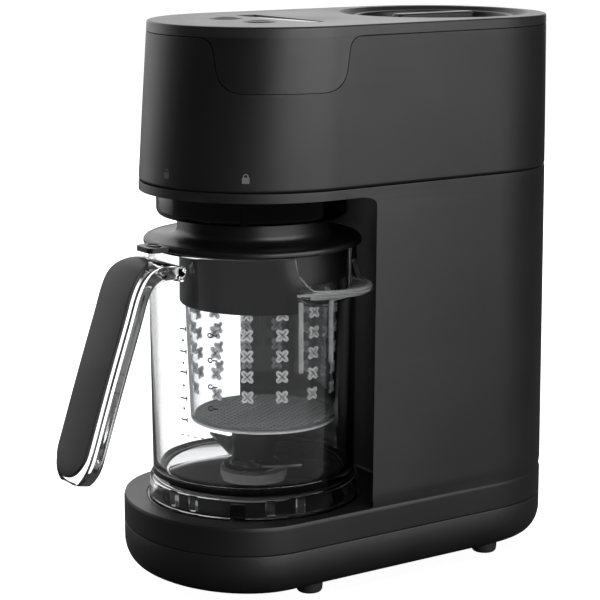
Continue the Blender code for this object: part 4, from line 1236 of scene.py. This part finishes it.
# arm length and half width of each X: its frosted border, its face and its open slot
CROSS_EDGE = (2.9, 1.45)
CROSS_FACE = (2.9, 0.72)
CROSS_SLOT = (2.4, 0.24)
WALL_ROWS = 26


def cross_outline(arm, half, turn=45.0, steps=3):
    """X shape with round arm ends."""
    points = []
    for k in range(4):
        base = math.radians(turn + 90.0 * k)
        along = Vector((math.cos(base), math.sin(base)))
        side = Vector((-along.y, along.x))
        for i in range(steps + 1):
            a = math.pi * (i / steps - 0.5)
            points.append(along * (arm + half * math.cos(a)) + side * (half * math.sin(a)))
        points.append(along * half + side * half)
    return points


def in_cross(du, dw, arm, half, turn=45.0):
    """Whether a point lies in the X shape."""
    for k in range(2):
        base = math.radians(turn + 90.0 * k)
        along = abs(du * math.cos(base) + dw * math.sin(base))
        side = abs(-du * math.sin(base) + dw * math.cos(base))
        if along <= arm and side <= half:
            return True
        if math.hypot(max(0.0, along - arm), side) <= half:
            return True
    return False


def circle(centre, radius, count):
    turns = [2 * math.pi * i / count for i in range(count)]
    return [centre + Vector((radius * math.cos(a), radius * math.sin(a))) for a in turns]


def add_loop(verts, edges, points):
    """Add a closed outline to the flat drawing of a sheet."""
    start = len(verts)
    verts.extend(points)
    for i in range(len(points)):
        edges.append((start + i, start + (i + 1) % len(points)))


def thicken(obj, thickness):
    """Give a sheet its thickness on the inner side."""
    mod = obj.modifiers.new("thick", "SOLIDIFY")
    mod.thickness = thickness
    mod.offset = -1.0
    bake(obj)
    smooth(obj.data, 40.0)


def build_basket_wall():
    """Basket wall rolled up from a flat sheet in which each X has a border frosted lighter as a
    painted highlight, and a slot.
    """
    r_mid = 42.6
    around = 2 * math.pi * r_mid
    z_low = BASKET_BOTTOM + 1.4
    z_high = BASKET_TOP
    pitch = around / CROSS_COLUMNS
    verts = []
    edges = []
    columns = CROSS_COLUMNS * 8
    step = around / columns
    height = z_high - z_low
    rim = [Vector((i * step, z_low)) for i in range(columns + 1)]
    rim += [Vector((around, z_low + height * k / WALL_ROWS)) for k in range(1, WALL_ROWS)]
    rim += [Vector((around - i * step, z_high)) for i in range(columns + 1)]
    rim += [Vector((0.0, z_high - height * k / WALL_ROWS)) for k in range(1, WALL_ROWS)]
    add_loop(verts, edges, rim)
    centres = []
    for c in range(CROSS_COLUMNS):
        for z in CROSS_ROWS:
            centre = Vector(((c + 0.5) * pitch, z))
            centres.append(centre)
            for arm, half in (CROSS_EDGE, CROSS_FACE, CROSS_SLOT):
                add_loop(verts, edges, [centre + p for p in cross_outline(arm, half)])
    for i in range(1, columns):
        for k in range(1, WALL_ROWS):
            point = Vector((i * step, z_low + height * k / WALL_ROWS))
            near = min((point - centre).length for centre in centres)
            if near > 5.4:
                verts.append(point)
    out = delaunay_2d_cdt(verts, edges, [], 0, 1e-5)
    bm = bmesh.new()
    placed = []
    for point in out[0]:
        t = (point.y - z_low) / height
        r = BASKET_R_LOW + (BASKET_R_TOP - BASKET_R_LOW) * t
        a = point.x / r_mid + math.radians(CROSS_FIRST) - math.pi / CROSS_COLUMNS
        placed.append(bm.verts.new((r * MM * math.sin(a), BASKET_Y - r * MM * math.cos(a),
                                    point.y * MM)))
    for face in out[2]:
        middle = (out[0][face[0]] + out[0][face[1]] + out[0][face[2]]) / 3
        column = min(CROSS_COLUMNS - 1, max(0, int(middle.x / pitch)))
        mark = 0
        hole = False
        for z in CROSS_ROWS:
            du = middle.x - (column + 0.5) * pitch
            dw = middle.y - z
            if abs(dw) < 6.0:
                hole = hole or in_cross(du, dw, CROSS_SLOT[0], CROSS_SLOT[1] - 0.02)
                if in_cross(du, dw, CROSS_FACE[0], CROSS_FACE[1] - 0.02):
                    mark = 1
                # the border ring takes the lighter frosted material, a painted highlight
                elif in_cross(du, dw, CROSS_EDGE[0], CROSS_EDGE[1] - 0.03):
                    mark = 2
        if hole:
            continue
        try:
            made = bm.faces.new([placed[i] for i in face])
        except ValueError:
            continue
        made.material_index = mark
    bmesh.ops.remove_doubles(bm, verts=bm.verts, dist=0.000004)
    mesh = finish_mesh(bm, "basket_wall")
    face = mesh.polygons[0]
    if face.normal.dot(face.center - Vector((0.0, BASKET_Y, face.center.z))) < 0:
        mesh.flip_normals()
    wall = thing("basket_wall", mesh)
    # the third material is the painted highlight on each X's border
    for mat in (BASKET_CLEAR, FROST, FROST_HIGHLIGHT):
        mesh.materials.append(mat)
    thicken(wall, 1.7 * MM)
    put(wall, "basket", "clear_plastic", None, "steam_basket")


def build_basket_floor():
    """Perforated floor of the basket."""
    radius = BASKET_R_LOW - 0.2
    verts = []
    edges = []
    add_loop(verts, edges, circle(Vector((0.0, 0.0)), radius, 120))
    holes = []
    pitch = 3.7
    for row in range(-13, 14):
        for col in range(-12, 12):
            x = (col + 0.5 * (row % 2)) * pitch
            y = row * pitch * 0.866
            if math.hypot(x, y) < radius - 4.0:
                holes.append(Vector((x, y)))
    hole_r = 1.35
    for hole in holes:
        add_loop(verts, edges, circle(hole, hole_r, 10))
    out = delaunay_2d_cdt(verts, edges, [], 0, 1e-5)
    bm = bmesh.new()
    z = BASKET_BOTTOM + 2.0
    placed = [bm.verts.new((p.x * MM, BASKET_Y + p.y * MM, z * MM)) for p in out[0]]
    for face in out[2]:
        middle = (out[0][face[0]] + out[0][face[1]] + out[0][face[2]]) / 3
        if min((middle - hole).length for hole in holes) < hole_r * 0.93:
            continue
        made = bm.faces.new([placed[i] for i in face])
        made.normal_update()
        if made.normal.z < 0:
            made.normal_flip()
    mesh = finish_mesh(bm, "basket_floor")
    if mesh.polygons[0].normal.z < 0:
        mesh.flip_normals()
    floor = thing("basket_floor", mesh)
    thicken(floor, 1.8 * MM)
    put(floor, "basket", "clear_plastic", FLOOR_CLEAR)


# ------------------------------------------------------------------ blades and drive
def build_blades():
    hub = rounded([(0.0, 87.0), (8.6, 87.0, 1.6), (11.6, 86.0, 1.6), (12.3, 82.0, 2.0),
                   (12.4, 66.2, 0.5), (4.3, 66.2), (4.3, 84.0), (0.0, 84.0)])
    put(thing("hub_cover", revolve("hub_cover", hub, JUG_Y, 96, closed=False)), "blades",
        "gloss_black_plastic", GLOSS, "blade_hub")
    base = rounded([(15.4, 62.6, 0.5), (17.0, 61.6, 0.5), (17.0, 60.8, 0.2), (12.8, 60.8),
                    (12.8, 51.8), (4.3, 51.8), (4.3, 62.6, 0.4)], closed=True)
    put(thing("base_boss", revolve("base_boss", base, JUG_Y, 96)), "jug", "gloss_black_plastic",
        CLEAR, "blade_base")


def build_feet():
    profile = rounded([(0.0, 12.6), (2.6, 12.2, 0.3), (3.6, 10.6, 0.4), (2.4, 10.2), (2.4, 7.2),
                       (7.5, 7.2, 0.4), (7.3, 3.0, 1.0), (7.0, 1.0, 0.8), (6.0, 0.0, 0.6),
                       (3.0, 0.0, 0.3), (2.6, 0.5, 0.3), (0.0, 0.5)])
    for i in range(1, 5):
        place = spot("foot_%d" % i)
        mesh = revolve("foot_pad_%d" % i, profile, place.y, 64, closed=False, centre_x=place.x)
        put(thing("foot_pad_%d" % i, mesh), "machine", "black_rubber", RUBBER, "foot_%d" % i)


INSIDE = (
    (BOARD, ("main_board", "control_board")),
    (WHITE, ("display_module", "water_pump", "steam_nozzle", "drive_hub", "driven_hub",
             "blade_nut", "bearing_carrier")),
    (STEEL, ("motor", "motor_pulley", "drive_bearing", "case_screw_1", "case_screw_2",
             "case_screw_3", "case_screw_4", "blade_shaft")),
    (BLADE, ("blade",)),
    (CAST, ("boiler", "motor_mount", "drive_magnet", "driven_magnet")),
    (SILICONE, ("tank_hose", "pump_hose", "steam_tube", "nozzle_seal", "lid_seal", "cap_gasket")),
    (RUBBER, ("drive_belt", "cord_gland")),
    (GLOSS, ("button_switch_left", "button_switch_right", "lock_switch")),
    (BASKET_CLEAR, ("water_tank",)),
)


def dress_frame():
    for mat, nodes in INSIDE:
        for name in nodes:
            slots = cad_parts[name].data.materials
            slots.clear()
            slots.append(mat)


build_stage()
build_world()
MATT = build_lights()
GLASS = build_back_lights()
build_camera()
build_pan()
build_body()
build_head()
build_cover()
build_icons()
build_controls()
build_cap()
build_collar()
build_jug()
build_scale()
build_handle()
build_lid()
build_basket_wall()
build_basket_floor()
build_blades()
build_feet()
dress_frame()

for lit, names in (
        (MATT, ("lid_plate", "body_shell", "base_shell", "head_shell", "cover_shell", "cover_tab",
                "cap_dish", "grip_inlay", "button_cap_left", "button_cap_right", "foot_pad_1",
                "foot_pad_2", "foot_pad_3", "foot_pad_4", "icon_locked", "icon_unlocked")),
        (GLASS, ("jug_wall", "handle_strap", "basket_wall", "basket_floor", "lip_bead"))):
    for name in names:
        lit.objects.link(bpy.data.objects[name])
bpy.context.view_layer.update()
